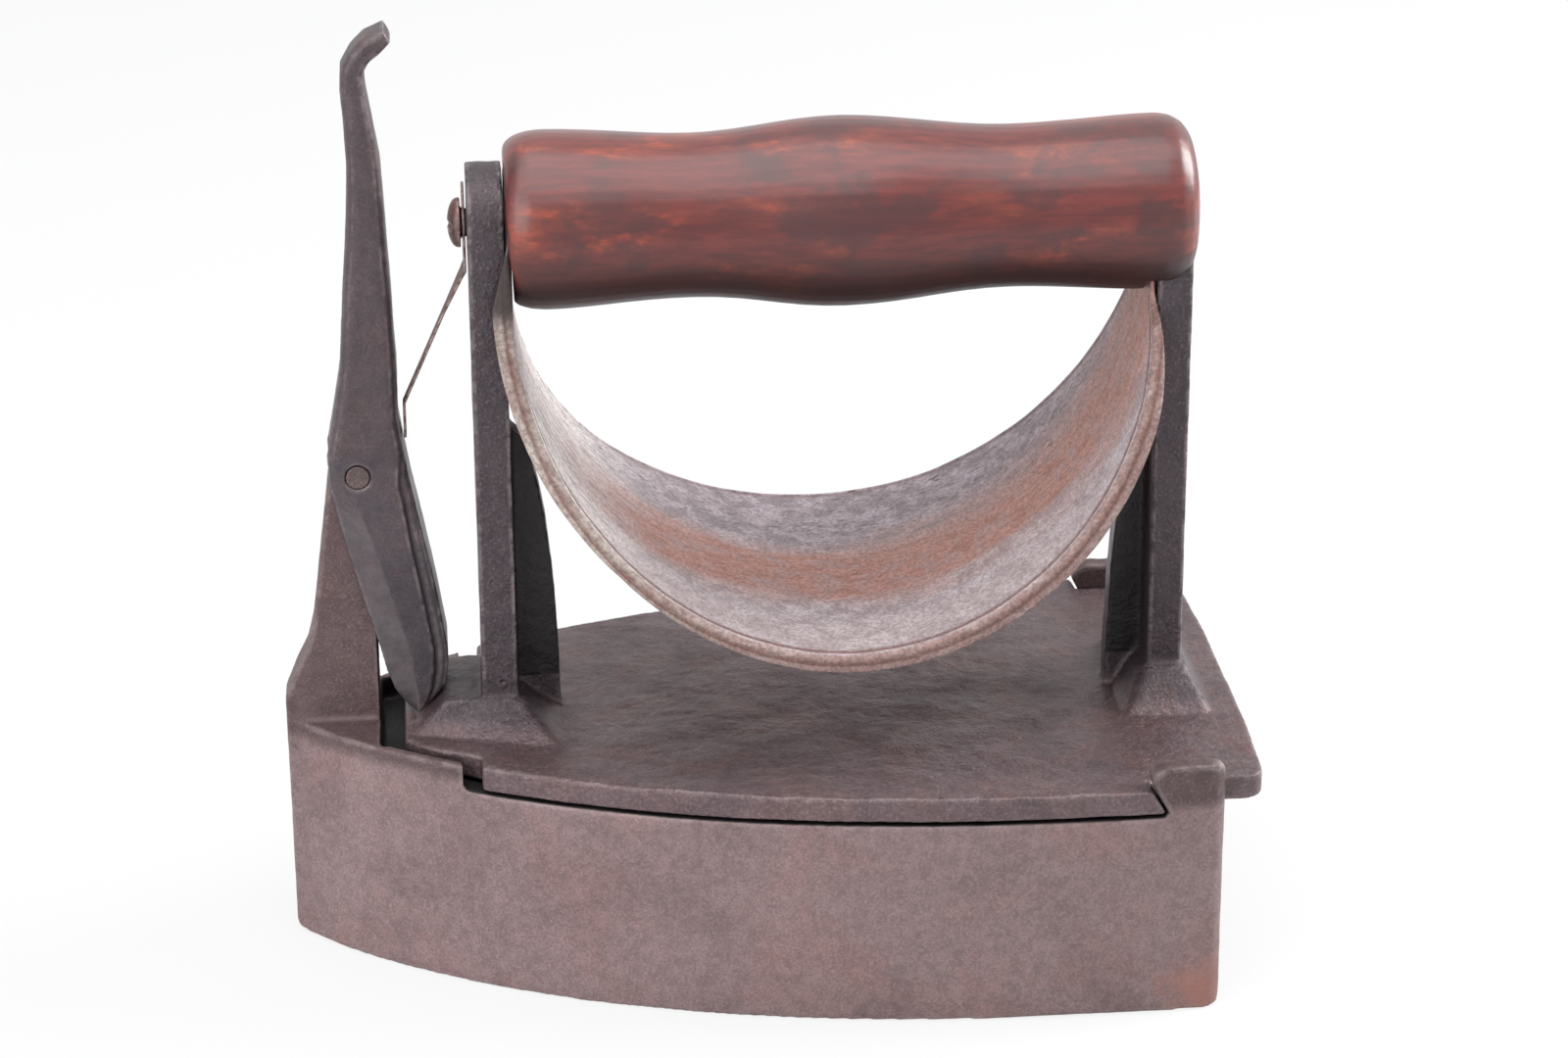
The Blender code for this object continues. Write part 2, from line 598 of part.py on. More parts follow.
def make_lid():
    """The lid casting: plate, both posts with their ribs, and their feet."""
    lid = plan_plate("lid_casting", lid_outline(), LID_BOTTOM, LID_TOP)
    flank_depth = SOLE_HALF_WIDTH - HORN_INNER_HALF_WIDTH + LID_TAIL_SIDE_GAP + CUT_OVERRUN
    for side in (-1, 1):
        middle = side * (SOLE_HALF_WIDTH + CUT_OVERRUN - flank_depth / 2)
        cut(lid, side_plate(f"tongue_clearance_{side:+d}", tongue_clearance(), flank_depth / 2, middle))
    post_bottom = LID_TOP - JOIN_DEPTH
    join(lid, cross_plate("front_post", post_outline(post_bottom), FRONT_POST_X, FRONT_POST_REAR_X))
    join(lid, cross_plate("rear_post", post_outline(post_bottom), REAR_POST_X, REAR_POST_REAR_X))
    join(lid, side_plate("front_rib", rib_outline(FRONT_POST_REAR_X, FRONT_RIB_REACH, FRONT_RIB_TOP, post_bottom),
                         RIB_THICKNESS / 2))
    join(lid, side_plate("rear_rib", rib_outline(REAR_POST_X, -REAR_RIB_REACH, REAR_RIB_TOP, post_bottom),
                         RIB_THICKNESS / 2))
    join(lid, foot_tent("front_foot", (FRONT_POST_X + FRONT_POST_REAR_X) / 2, FRONT_FOOT_TOE_REACH,
                        FRONT_FOOT_HEEL_REACH, FRONT_FOOT_TOE_HALF_WIDTH, FRONT_FOOT_HALF_WIDTH, FRONT_FOOT_SHELF,
                        FRONT_FOOT_TOP))
    join(lid, foot_block("rear_foot", REAR_POST_X - REAR_FOOT_TOE_REACH, REAR_POST_REAR_X + REAR_FOOT_HEEL_REACH,
                         REAR_FOOT_HALF_WIDTH, REAR_POST_X - FOOT_TOP_MARGIN,
                         REAR_POST_REAR_X + FOOT_TOP_MARGIN, REAR_FOOT_TOP))
    cut(lid, side_plate("lever_seat", lever_seat(), SEAT_HALF_WIDTH))
    cut(lid, round_rod("post_bolt_holes", BOLT_RADIUS + FIT_GAP, (FRONT_POST_X - CUT_OVERRUN, 0, GRIP_HEIGHT),
                       (REAR_POST_REAR_X + CUT_OVERRUN, 0, GRIP_HEIGHT)))
    return keep_part(lid, finish_material("cast_iron_lid", (0.088, 0.066, 0.064), 0.55, 0.8))


def lever_place(shares):
    """A point of the lever from its shares along the iron and up or down from the pin."""
    reach = LEVER_ARM if shares[1] > 0 else PIN_ABOVE_LID
    return PIN_X + shares[0] * LEVER_DEPTH, PIN_HEIGHT + shares[1] * reach


def lever_sections():
    """The lever from nose to thumb curl: toe-side and heel-side edge points of each section.

    Every point is set out from the pin in shares: along the iron of the lever's depth, upward of its arm, and
    downward of the pin's height over the lid.
    """
    outline = (
        ((0.5972, -0.9727), (0.6667, -0.9686)), ((0.4722, -0.935), (0.8333, -0.9182)),
        ((0.3472, -0.8805), (0.9861, -0.8595)), ((0.25, -0.8008), (1.0278, -0.7883)),
        ((0.1944, -0.7254), (1.0278, -0.7044)), ((0.0139, -0.522), (0.9306, -0.5073)),
        ((-0.1944, -0.2788), (0.7917, -0.2725)), ((-0.3542, -0.0419), (0.6458, -0.0419)),
        ((-0.375, 0.045), (0.5833, 0.045)), ((-0.2708, 0.135), (0.5278, 0.12)),
        ((-0.1597, 0.25), (0.5278, 0.25)), ((-0.0833, 0.4313), (0.4931, 0.4313)),
        ((-0.0069, 0.5875), (0.4583, 0.5875)), ((0.0278, 0.7125), (0.4306, 0.7125)),
        ((0.0139, 0.795), (0.3542, 0.8075)), ((-0.0139, 0.87), (0.2917, 0.8775)),
        ((0.0069, 0.9225), (0.2778, 0.9125)), ((0.1319, 0.9613), (0.3472, 0.935)),
        ((0.2917, 0.9912), (0.4792, 0.9525)), ((0.5278, 1.0088), (0.6181, 0.98)),
    )
    return [(lever_place(front), lever_place(rear)) for front, rear in outline]


def nose_line():
    """The slanting underside of the lever's nose, from its tip toward the heel."""
    sections = lever_sections()
    return sections[0][1], sections[2][1]


def lever_half_width(height):
    """Half the breadth of the lever: full on the leg, drawn in toward the thumb curl."""
    top = PIN_HEIGHT + LEVER_ARM
    share = min(1.0, max(0.0, (height - PIN_HEIGHT) / (top - PIN_HEIGHT)))
    return LEVER_HALF_WIDTH + (LEVER_TIP_HALF_WIDTH - LEVER_HALF_WIDTH) * share


def lever_corner(length, half, corner, leg_share, heel_side):
    """Four points round one corner of a section, from its end face to its cheek.

    The corner is rounded on the arm. On the leg it is grooved on the heel side and bevelled on the toe side.
    """
    rounded = [(length - corner + corner * math.cos(angle), half - corner + corner * math.sin(angle))
               for angle in (0, math.pi / 6, math.pi / 3, math.pi / 2)]
    if heel_side:
        strip = min(LEVER_STRIP_BREADTH, 0.6 * length)
        inner = half - LEVER_STRIP_STEP
        leg = [(length, inner), (length - 0.55 * strip, half - 0.55 * LEVER_STRIP_STEP),
               (length - 0.85 * strip, inner), (length - strip, half)]
    else:
        deep = min(LEVER_BEVEL_LENGTH, 0.9 * length)
        leg = [(length - deep * share, half - LEVER_BEVEL_BREADTH * (1 - share)) for share in (0, 1 / 3, 2 / 3, 1)]
    return [Vector(start).lerp(Vector(end), leg_share) for start, end in zip(rounded, leg)]


def lever_ring(front, rear):
    """One section of the lever, between its toe-side and heel-side edge points."""
    front, rear = Vector((front[0], 0, front[1])), Vector((rear[0], 0, rear[1]))
    middle, reach = (front + rear) / 2, (rear - front) / 2
    half = lever_half_width(middle.z)
    corner = min(LEVER_CORNER_RADIUS, 0.8 * reach.length, 0.6 * half)
    leg_share = min(1.0, max(0.0, (PIN_HEIGHT + PIN_RADIUS - middle.z) / (4 * PIN_RADIUS)))
    heel = lever_corner(reach.length, half, corner, leg_share, True)
    toe = lever_corner(reach.length, half, corner, leg_share, False)
    around = [(along, across) for along, across in heel] + [(-along, across) for along, across in toe[::-1]]
    around += [(-along, -across) for along, across in toe] + [(along, -across) for along, across in heel[::-1]]
    return [middle + reach.normalized() * along + Vector((0, across, 0)) for along, across in around]


def make_lever():
    """The thumb lever: a channel that straddles the toe post below, and an arm with a curled thumb rest above."""
    shape = bmesh.new()
    rings = []
    for front, rear in lever_sections():
        rings.append([shape.verts.new(place) for place in lever_ring(front, rear)])
    count = len(rings[0])
    for lower, upper in zip(rings, rings[1:]):
        for index in range(count):
            following = (index + 1) % count
            shape.faces.new((lower[index], lower[following], upper[following], upper[index]))
    shape.faces.new(rings[0][::-1])
    shape.faces.new(rings[-1])
    lever = mesh_piece("thumb_lever", shape)
    set_origin(lever, (PIN_X, 0, PIN_HEIGHT))
    cut(lever, side_plate("lever_slot", lever_slot(), LEVER_SLOT_HALF_WIDTH))
    cut(lever, round_rod("lever_pin_hole", PIN_RADIUS + FIT_GAP,
                         (PIN_X, -LEVER_HALF_WIDTH - CUT_OVERRUN, PIN_HEIGHT),
                         (PIN_X, LEVER_HALF_WIDTH + CUT_OVERRUN, PIN_HEIGHT)))
    return keep_part(lever, finish_material("cast_iron_lever", (0.1, 0.074, 0.07), 0.58, 0.8))


def lever_slot():
    """The channel's hollow from the side, open toward the toe and closed by the web on the heel side."""
    radius = BLADE_TOP_RADIUS + LEVER_SLOT_TOP_GAP
    web_x = PIN_X + radius
    knee = (web_x + LEVER_WEB_KNEE_SETBACK, PIN_HEIGHT - PIN_ABOVE_LID * LEVER_WEB_KNEE_SHARE)
    bottom = LID_BOTTOM
    front = TOE_X - CUT_OVERRUN
    return (arc((PIN_X, PIN_HEIGHT), radius, 90, 0, 8) + [knee, (knee[0], bottom), (front, bottom),
                                                          (front, PIN_HEIGHT + radius)])


def make_pin():
    """The pin that the lever swings on, flush with its cheeks."""
    pin = round_rod("lever_pin", PIN_RADIUS, (PIN_X, -LEVER_HALF_WIDTH, PIN_HEIGHT), (PIN_X, LEVER_HALF_WIDTH, PIN_HEIGHT))
    set_origin(pin, (PIN_X, 0, PIN_HEIGHT))
    return keep_part(pin, finish_material("steel_pin", (0.2, 0.13, 0.11), 0.5, 0.9))


def grip_profile():
    """The turned grip: a swell at each end and in the middle, with two waists between them."""
    length = GRIP_REAR_X - GRIP_FRONT_X
    stations = (
        (0.055, GRIP_FRONT_RADIUS), (0.265, GRIP_WAIST_RADIUS), (0.485, GRIP_MIDDLE_RADIUS),
        (0.725, GRIP_WAIST_RADIUS), (0.94, GRIP_REAR_RADIUS),
    )
    points = [(GRIP_FRONT_X, 0.0), (GRIP_FRONT_X, GRIP_END_FLAT_RADIUS)]
    start = GRIP_FRONT_X + length * stations[0][0]
    for index in range(1, 4):
        angle = math.pi / 2 * index / 4
        points.append((GRIP_FRONT_X + (start - GRIP_FRONT_X) * (1 - math.cos(angle)),
                       GRIP_END_FLAT_RADIUS + (GRIP_FRONT_RADIUS - GRIP_END_FLAT_RADIUS) * math.sin(angle)))
    for (share_a, radius_a), (share_b, radius_b) in zip(stations, stations[1:]):
        for index in range(7):
            part = index / 7
            blend = (1 - math.cos(math.pi * part)) / 2
            points.append((GRIP_FRONT_X + length * (share_a + (share_b - share_a) * part),
                           radius_a + (radius_b - radius_a) * blend))
    points.append((GRIP_FRONT_X + length * stations[-1][0], GRIP_REAR_RADIUS))
    shoulder = GRIP_REAR_X - GRIP_DOME
    round_start = GRIP_FRONT_X + length * stations[-1][0]
    inner = GRIP_REAR_RADIUS - GRIP_END_ROUND
    for index in range(1, 5):
        angle = math.pi / 2 * index / 4
        points.append((round_start + (shoulder - round_start) * math.sin(angle), inner + GRIP_END_ROUND * math.cos(angle)))
    points.append((GRIP_REAR_X - GRIP_DOME * 0.3, inner * 0.5))
    points.append((GRIP_REAR_X, 0.0))
    return points[::-1]


def make_grip():
    """The turned wooden grip, bored for the bolt, slotted for the rear post and recessed for the shield's tab."""
    grip = turned_piece("wooden_grip", grip_profile(), GRIP_HEIGHT)
    slot_front = REAR_POST_X - 2 * FIT_GAP - SHEET - FIT_GAP
    half = POST_HALF_WIDTH + FIT_GAP
    outline = ([(-half, GRIP_HEIGHT - 2 * GRIP_REAR_RADIUS), (half, GRIP_HEIGHT - 2 * GRIP_REAR_RADIUS)]
               + arc((0, GRIP_HEIGHT + POST_RISE), half, 0, 180, 16))
    cut(grip, cross_plate("grip_slot", outline, slot_front, GRIP_REAR_X + CUT_OVERRUN))
    tab_half = SHIELD_FRONT_TAB_HALF_WIDTH + SHEET / 2 + FIT_GAP
    recess = [(-tab_half, GRIP_HEIGHT - 2 * GRIP_FRONT_RADIUS), (tab_half, GRIP_HEIGHT - 2 * GRIP_FRONT_RADIUS)]
    tab_rise = SHIELD_REAR_TAB_HALF_WIDTH + SHEET / 2 + FIT_GAP
    recess += [(across * tab_half, GRIP_HEIGHT + up * tab_rise)
               for across, up in arc((0, 0), 1, 0, 180, 16)]
    cut(grip, cross_plate("tab_recess", recess, GRIP_FRONT_X - CUT_OVERRUN, GRIP_RECESS_X))
    cut(grip, round_rod("grip_bore", BOLT_RADIUS + FIT_GAP, (GRIP_FRONT_X - CUT_OVERRUN, 0, GRIP_HEIGHT),
                        (REAR_POST_X, 0, GRIP_HEIGHT)))
    return keep_part(grip, finish_material("stained_wood", (0.17, 0.035, 0.022), 0.28, 0.0))


def shield_path():
    """Stations of the shield's middle plane: place, outward direction, half breadth and depth of lip."""
    radius = SHIELD_OUTER_RADIUS - SHEET / 2
    tab_top = GRIP_HEIGHT + SHIELD_REAR_TAB_HALF_WIDTH
    stations = []

    def tab(side, half, lip_share):
        levels = []
        for index in range(7):
            share = index / 6
            height = SHIELD_AXIS_HEIGHT + (tab_top - SHIELD_AXIS_HEIGHT) * (1 - share ** 2) * 0.995
            above = max(0.0, height - GRIP_HEIGHT) / SHIELD_REAR_TAB_HALF_WIDTH
            arch = half * math.sqrt(max(0.02, 1 - above ** 2))
            reach = max(0.0, 1 - (height - SHIELD_AXIS_HEIGHT) / (GRIP_HEIGHT - SHIELD_AXIS_HEIGHT))
            levels.append(((SHIELD_X + side * radius, height), (side, 0.0), arch, SHIELD_LIP * reach * lip_share))
        return levels

    stations += tab(-1, SHIELD_FRONT_TAB_HALF_WIDTH, 1.0)[:-1]
    for index in range(25):
        angle = math.pi + math.pi * index / 24
        outward = (math.cos(angle), math.sin(angle))
        depth = max(0.0, -outward[1])
        end_half = SHIELD_FRONT_TAB_HALF_WIDTH if outward[0] < 0 else SHIELD_REAR_TAB_HALF_WIDTH
        spread = max(0.0, (depth - SHIELD_TAB_SHARE) / (1 - SHIELD_TAB_SHARE))
        half = end_half + (SHIELD_HALF_WIDTH - end_half) * spread ** SHIELD_SPREAD_SHARES[outward[0] > 0]
        place = (SHIELD_X + radius * outward[0], SHIELD_AXIS_HEIGHT + radius * outward[1])
        lip = SHIELD_LIP
        if outward[0] > 0:
            lip *= math.sin(math.pi / 2 * min(1.0, SHIELD_LIP_GROWTH * depth))
        stations.append((place, outward, half, lip))
    stations += tab(1, SHIELD_REAR_TAB_HALF_WIDTH, 0.0)[:-1][::-1]
    return stations


def make_shield():
    """The sheet trough that keeps the heat off the hand, with a lip turned down along both rims."""
    across_shares = (-1.0, -0.95, -0.6, -0.2, 0.2, 0.6, 0.95, 1.0)
    shape = bmesh.new()
    rows = []
    for place, outward, half, lip in shield_path():
        lip = max(lip, SHEET / 3)
        row = []
        for sign in (-1, 1):
            shares = across_shares[:4] if sign < 0 else across_shares[4:]
            flat = [Vector((place[0], share * half, place[1])) for share in shares]
            edge = Vector((place[0] + outward[0] * lip, sign * half, place[1] + outward[1] * lip))
            row += [edge] + flat if sign < 0 else flat + [edge]
        rows.append([shape.verts.new(point) for point in row])
    for first, second in zip(rows, rows[1:]):
        for index in range(len(first) - 1):
            shape.faces.new((first[index], second[index], second[index + 1], first[index + 1]))
    mesh = bpy.data.meshes.new("heat_shield")
    shape.to_mesh(mesh)
    shape.free()
    shield = bpy.data.objects.new("heat_shield", mesh)
    bpy.context.scene.collection.objects.link(shield)
    thicken = shield.modifiers.new("thicken", "SOLIDIFY")
    thicken.thickness = SHEET
    thicken.offset = 0.0
    cut(shield, round_rod("shield_bolt_holes", BOLT_RADIUS + FIT_GAP, (FRONT_POST_X, 0, GRIP_HEIGHT),
                          (REAR_POST_REAR_X, 0, GRIP_HEIGHT)))
    return keep_part(shield, finish_material("rusted_sheet", (0.26, 0.2, 0.18), 0.55, 0.65))


def make_bolt():
    """The long screw through post, shield, grip and rear post; its domed head also clamps the spring."""
    head_back = SPRING_FACE_X - SPRING_THICKNESS - FIT_GAP
    head_front = head_back - BOLT_HEAD_HEIGHT
    dome = []
    for index in range(7):
        angle = math.pi / 2 * index / 6
        dome.append((head_back - BOLT_HEAD_HEIGHT * math.sin(angle) * 0.8 - BOLT_HEAD_HEIGHT * 0.2,
                     BOLT_HEAD_RADIUS * math.cos(angle)))
    profile = [(REAR_POST_REAR_X, 0.0), (REAR_POST_REAR_X, BOLT_RADIUS), (head_back, BOLT_RADIUS),
               (head_back, BOLT_HEAD_RADIUS)] + dome[:-1] + [(head_front, 0.0)]
    bolt = turned_piece("handle_screw", profile, GRIP_HEIGHT)
    slot = [(-2 * BOLT_HEAD_RADIUS, -BOLT_SLOT_WIDTH / 2), (2 * BOLT_HEAD_RADIUS, -BOLT_SLOT_WIDTH / 2),
            (2 * BOLT_HEAD_RADIUS, BOLT_SLOT_WIDTH / 2), (-2 * BOLT_HEAD_RADIUS, BOLT_SLOT_WIDTH / 2)]
    slot = [(across, GRIP_HEIGHT + up) for across, up in slot]
    cut(bolt, cross_plate("screw_slot", slot, head_front - CUT_OVERRUN, head_front + BOLT_SLOT_DEPTH))
    return keep_part(bolt, finish_material("steel_screw", (0.16, 0.11, 0.09), 0.5, 0.9))


def strip_outline(path, thickness):
    """The closed side view of a bent strip that follows a path of points."""
    left, right = [], []
    for index, point in enumerate(path):
        before = Vector(path[max(index - 1, 0)])
        after = Vector(path[min(index + 1, len(path) - 1)])
        here = Vector(point)
        first = (here - before).normalized() if index else (after - here).normalized()
        second = (after - here).normalized() if index < len(path) - 1 else first
        bisector = (first + second).normalized()
        normal = Vector((-bisector.y, bisector.x))
        reach = thickness / 2 / max(0.5, normal.dot(Vector((-first.y, first.x))))
        left.append(tuple(here + normal * reach))
        right.append(tuple(here - normal * reach))
    return left + right[::-1]


def make_spring():
    """The leaf spring: screwed to the front post, it slants down to press the lever's arm toward the toe."""
    post_x = SPRING_FACE_X - SPRING_THICKNESS / 2
    contact_x = max(lever_rear_at(SPRING_TIP_TOP), lever_rear_at(SPRING_TIP_BOTTOM))
    tip_x = contact_x + FIT_GAP + SPRING_THICKNESS / 2
    bow_x, bow_height = post_x + (tip_x - post_x) * 0.3 - SPRING_BOW, SPRING_BEND + (SPRING_TIP_TOP - SPRING_BEND) * 0.3
    path = [(post_x, SPRING_TOP), (post_x, SPRING_BEND + 2 * SPRING_THICKNESS), (post_x - SPRING_THICKNESS, SPRING_BEND),
            (bow_x, bow_height), (tip_x, SPRING_TIP_TOP), (tip_x, SPRING_TIP_BOTTOM)]
    outline = strip_outline(path, SPRING_THICKNESS)
    halves = [SPRING_HALF_WIDTH] * 2 + [SPRING_HALF_WIDTH * 0.8] + [SPRING_WAIST_HALF_WIDTH] * 2
    halves += [SPRING_TIP_HALF_WIDTH]
    halves += halves[::-1]
    shape = bmesh.new()
    near, far = ([shape.verts.new((along, side * half, height)) for (along, height), half in zip(outline, halves)]
                 for side in (-1, 1))
    count = len(outline)
    for index in range(count):
        following = (index + 1) % count
        shape.faces.new((near[index], near[following], far[following], far[index]))
    for index in range(count // 2 - 1):
        for row in (near, far[::-1]):
            shape.faces.new((row[index], row[count - 1 - index], row[count - 2 - index], row[index + 1]))
    spring = mesh_piece("leaf_spring", shape)
    cut(spring, round_rod("spring_hole", BOLT_RADIUS + FIT_GAP, (FRONT_POST_X - CUT_OVERRUN, 0, GRIP_HEIGHT),
                          (FRONT_POST_X + CUT_OVERRUN, 0, GRIP_HEIGHT)))
    return keep_part(spring, finish_material("spring_steel", (0.15, 0.11, 0.095), 0.45, 0.9))


def lever_rear_at(height):
    """The heel-side edge of the lever's arm at a height."""
    edge = [rear for front, rear in lever_sections()]
    for lower, upper in zip(edge, edge[1:]):
        if lower[1] <= height <= upper[1]:
            share = (height - lower[1]) / (upper[1] - lower[1])
            return lower[0] + (upper[0] - lower[0]) * share
    return edge[-1][0]


def make_slug():
    """The loose iron slug, shaped like the hollow, with an eye for the lifting hook."""
    inset = WALL_THICKNESS + SLUG_SIDE_GAP
    outline = sole_outline(inset, TOE_X + CAVITY_FROM_TOE + SLUG_SIDE_GAP, HEEL_X - inset, CAVITY_CORNER_RADIUS)
    slug = plan_plate("heat_slug", outline, SOLE_THICKNESS + FIT_GAP, SLUG_TOP)
    cut(slug, round_rod("slug_eye", SLUG_EYE_RADIUS, (SLUG_EYE_FROM_MIDDLE, 0, SOLE_THICKNESS - CUT_OVERRUN),
                        (SLUG_EYE_FROM_MIDDLE, 0, SLUG_TOP + CUT_OVERRUN)))
    return keep_part(slug, finish_material("iron_slug", (0.1, 0.08, 0.075), 0.7, 0.7))


make_base()
make_slug()
make_lid()
make_lever()
make_pin()
make_spring()
make_bolt()
make_shield()
make_grip()
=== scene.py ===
# %% [markdown]
# # Dressing a slug iron
#
# A slug iron is a hollow cast-iron pressing iron. A slug of iron is heated in the fire, dropped into the
# hollow and shut in under a lid, and the lid carries the grip. This lesson takes the plain working model of
# that iron and gives every piece the skin, wear and colour of a century of use.

# %% Load the working model
import math

import bmesh
import bpy
import numpy
from mathutils import Matrix, Vector, noise


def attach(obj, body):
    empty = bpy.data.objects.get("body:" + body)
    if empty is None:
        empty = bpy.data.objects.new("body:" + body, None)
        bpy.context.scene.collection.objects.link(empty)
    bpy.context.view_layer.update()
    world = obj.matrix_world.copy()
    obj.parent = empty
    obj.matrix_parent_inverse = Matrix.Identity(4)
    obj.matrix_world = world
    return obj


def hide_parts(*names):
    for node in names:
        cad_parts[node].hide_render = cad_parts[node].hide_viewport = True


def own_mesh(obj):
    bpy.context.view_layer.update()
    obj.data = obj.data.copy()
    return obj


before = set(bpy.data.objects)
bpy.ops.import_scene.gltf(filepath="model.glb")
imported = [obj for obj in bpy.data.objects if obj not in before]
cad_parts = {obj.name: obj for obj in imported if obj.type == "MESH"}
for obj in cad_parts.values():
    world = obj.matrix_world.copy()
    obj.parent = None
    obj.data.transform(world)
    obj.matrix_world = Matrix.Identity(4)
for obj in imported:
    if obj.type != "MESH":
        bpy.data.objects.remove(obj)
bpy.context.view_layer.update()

print("nodes:", sorted(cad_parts))

# %% [markdown]
# ## The camera
#
# The photograph looks across the near side of the iron from a little above. The angle and distance were
# measured by fitting the outline of the sole and the posts, so they are written here as plain values. The
# camera is built from its three directions: back toward the viewer, right, and up.

# %% Camera
MM = 0.001
CAMERA_TURN = math.radians(-4.911)
CAMERA_RISE = math.radians(21.987)
CAMERA_ROLL = math.radians(-0.287)
CAMERA_DISTANCE = 759.2 * MM
CAMERA_AIM = Vector((8.7 * MM, 0, 75.86 * MM))
SENSOR_WIDTH = 36.0
LENS_LENGTH = 96.11
CLIP_START = CAMERA_DISTANCE / 50


def place_camera():
    """The camera at the photograph's place, with a slight roll."""
    back = Vector((math.sin(CAMERA_TURN) * math.cos(CAMERA_RISE),
                   -math.cos(CAMERA_TURN) * math.cos(CAMERA_RISE),
                   math.sin(CAMERA_RISE)))
    level = Vector((math.cos(CAMERA_TURN), math.sin(CAMERA_TURN), 0))
    right = level * math.cos(CAMERA_ROLL) + back.cross(level) * math.sin(CAMERA_ROLL)
    data = bpy.data.cameras.new("portrait_camera")
    data.sensor_width = SENSOR_WIDTH
    data.lens = LENS_LENGTH
    data.clip_start = CLIP_START
    camera = bpy.data.objects.new("portrait_camera", data)
    bpy.context.scene.collection.objects.link(camera)
    placed = Matrix((right, back.cross(right), back)).transposed().to_4x4()
    placed.translation = CAMERA_AIM + back * CAMERA_DISTANCE
    camera.matrix_world = placed
    bpy.context.scene.camera = camera
    return camera


camera = place_camera()
bpy.context.scene.view_settings.view_transform = "Standard"
print("camera at", [round(value, 3) for value in camera.location])

# %% [markdown]
# ## Building shader nodes
#
# Every finish below is a small tree of nodes. One helper adds a node, sets its options and fills its
# inputs, where an input is either a plain value or the output of another node. That keeps each recipe
# readable from top to bottom. The others are short names for the steps that come back most often.

# %% Adding and filling nodes


def fill(tree, node, inputs):
    """Fills inputs of a node, each with a plain value or with a link from another node's output."""
    for socket, value in inputs.items():
        if isinstance(value, bpy.types.NodeSocket):
            tree.links.new(value, node.inputs[socket])
        else:
            node.inputs[socket].default_value = value
    return node


def add(tree, kind, inputs=None, **options):
    """Adds a shader node, sets its options, then fills its inputs."""
    made = tree.nodes.new(kind)
    for name, value in options.items():
        setattr(made, name, value)
    return fill(tree, made, inputs or {})


def new_material(name):
    """A material, its node tree and its Principled shader."""
    material = bpy.data.materials.new(name)
    material.use_nodes = True
    return material, material.node_tree, material.node_tree.nodes["Principled BSDF"]


def new_group(name, inputs, outputs):
    """An empty shader group with named sockets, and its two end nodes."""
    tree = bpy.data.node_groups.new(name, "ShaderNodeTree")
    for label, kind, value in inputs:
        socket = tree.interface.new_socket(label, in_out="INPUT", socket_type=kind)
        socket.default_value = value
    for label, kind in outputs:
        tree.interface.new_socket(label, in_out="OUTPUT", socket_type=kind)
    return tree, tree.nodes.new("NodeGroupInput"), tree.nodes.new("NodeGroupOutput")


def use_group(tree, group, values=None):
    """Places a group in a material with its own values, and gives its outputs."""
    return add(tree, "ShaderNodeGroup", values, node_tree=group).outputs


# %% Arithmetic and colour


def calc(tree, operation, first, second=0.0, clamp=False):
    """One step of arithmetic between two values."""
    return add(tree, "ShaderNodeMath", {0: first, 1: second}, operation=operation, use_clamp=clamp).outputs[0]


def times(tree, first, second):
    """The product of two values, such as a mask and its strength."""
    return calc(tree, "MULTIPLY", first, second)


def ramp(tree, value, low, high, start=0.0, end=1.0):
    """A smooth step from start to end as a value goes from low to high."""
    step = add(tree, "ShaderNodeMapRange", {"Value": value, "From Min": low, "From Max": high,
                                            "To Min": start, "To Max": end}, interpolation_type="SMOOTHSTEP")
    return step.outputs["Result"]


def mix_colour(tree, share, first, second, blend="MIX"):
    """Two colours mixed by a share."""
    mixed = add(tree, "ShaderNodeMix", {"Factor": share, "A": first, "B": second}, data_type="RGBA",
                blend_type=blend)
    return mixed.outputs["Result"]


def colour(red, green, blue):
    """A screen colour in the 0 to 255 scale, as the linear light that shaders work in."""
    def linear(value):
        share = value / 255
        return share / 12.92 if share <= 0.04045 else ((share + 0.055) / 1.055) ** 2.4
    return (linear(red), linear(green), linear(blue), 1.0)


print("mid grey in linear light:", round(colour(128, 128, 128)[0], 3))


# %% Places and noise


def object_place(tree):
    """Where a point of the surface is, in the iron's own frame."""
    return tree.nodes.new("ShaderNodeTexCoord").outputs["Object"]


def split(tree, vector):
    """The three parts of a vector, as outputs X, Y and Z."""
    return add(tree, "ShaderNodeSeparateXYZ", {"Vector": vector}).outputs


def stretched(tree, place, factors):
    """A place with its axes scaled, to draw a pattern out along one of them."""
    return add(tree, "ShaderNodeVectorMath", {0: place, 1: factors}, operation="MULTIPLY").outputs["Vector"]


def noise_at(tree, place, scale, detail=3.0, roughness=0.6, distortion=0.0):
    """Noise of a scale, which may be the output of another node."""
    return add(tree, "ShaderNodeTexNoise", {"Vector": place, "Scale": scale, "Detail": detail,
                                            "Roughness": roughness, "Distortion": distortion}).outputs["Fac"]


def noise_value(tree, place, size, *recipe):
    """Noise whose lumps are about a size across. The recipe is its detail, roughness and distortion."""
    return noise_at(tree, place, 1 / size, *recipe)


# %% [markdown]
# ## Light and ground
#
# The iron stands on white in soft light. The key light comes from the right and above, which the bright
# left wall of the shield shows, and a weaker one fills the near side. The ground stays white to the camera
# because part of its shader is a plain white glow that only the camera sees, and the rest keeps the shadow.

# %% Lamps, world and ground
WHITE = (1.0, 1.0, 1.0, 1.0)
SKY_TINT = (0.96, 0.98, 1.0, 1.0)
WORLD_LIGHT = 0.38
SKY_IN_GLOSS = 0.8
FLOOR_PAPER = (0.76, 0.76, 0.77, 1.0)
FLOOR_GLOW_SHARE = 0.8
FLOOR_SIZE = 6.0
FLOOR_DROP = 0.2 * MM
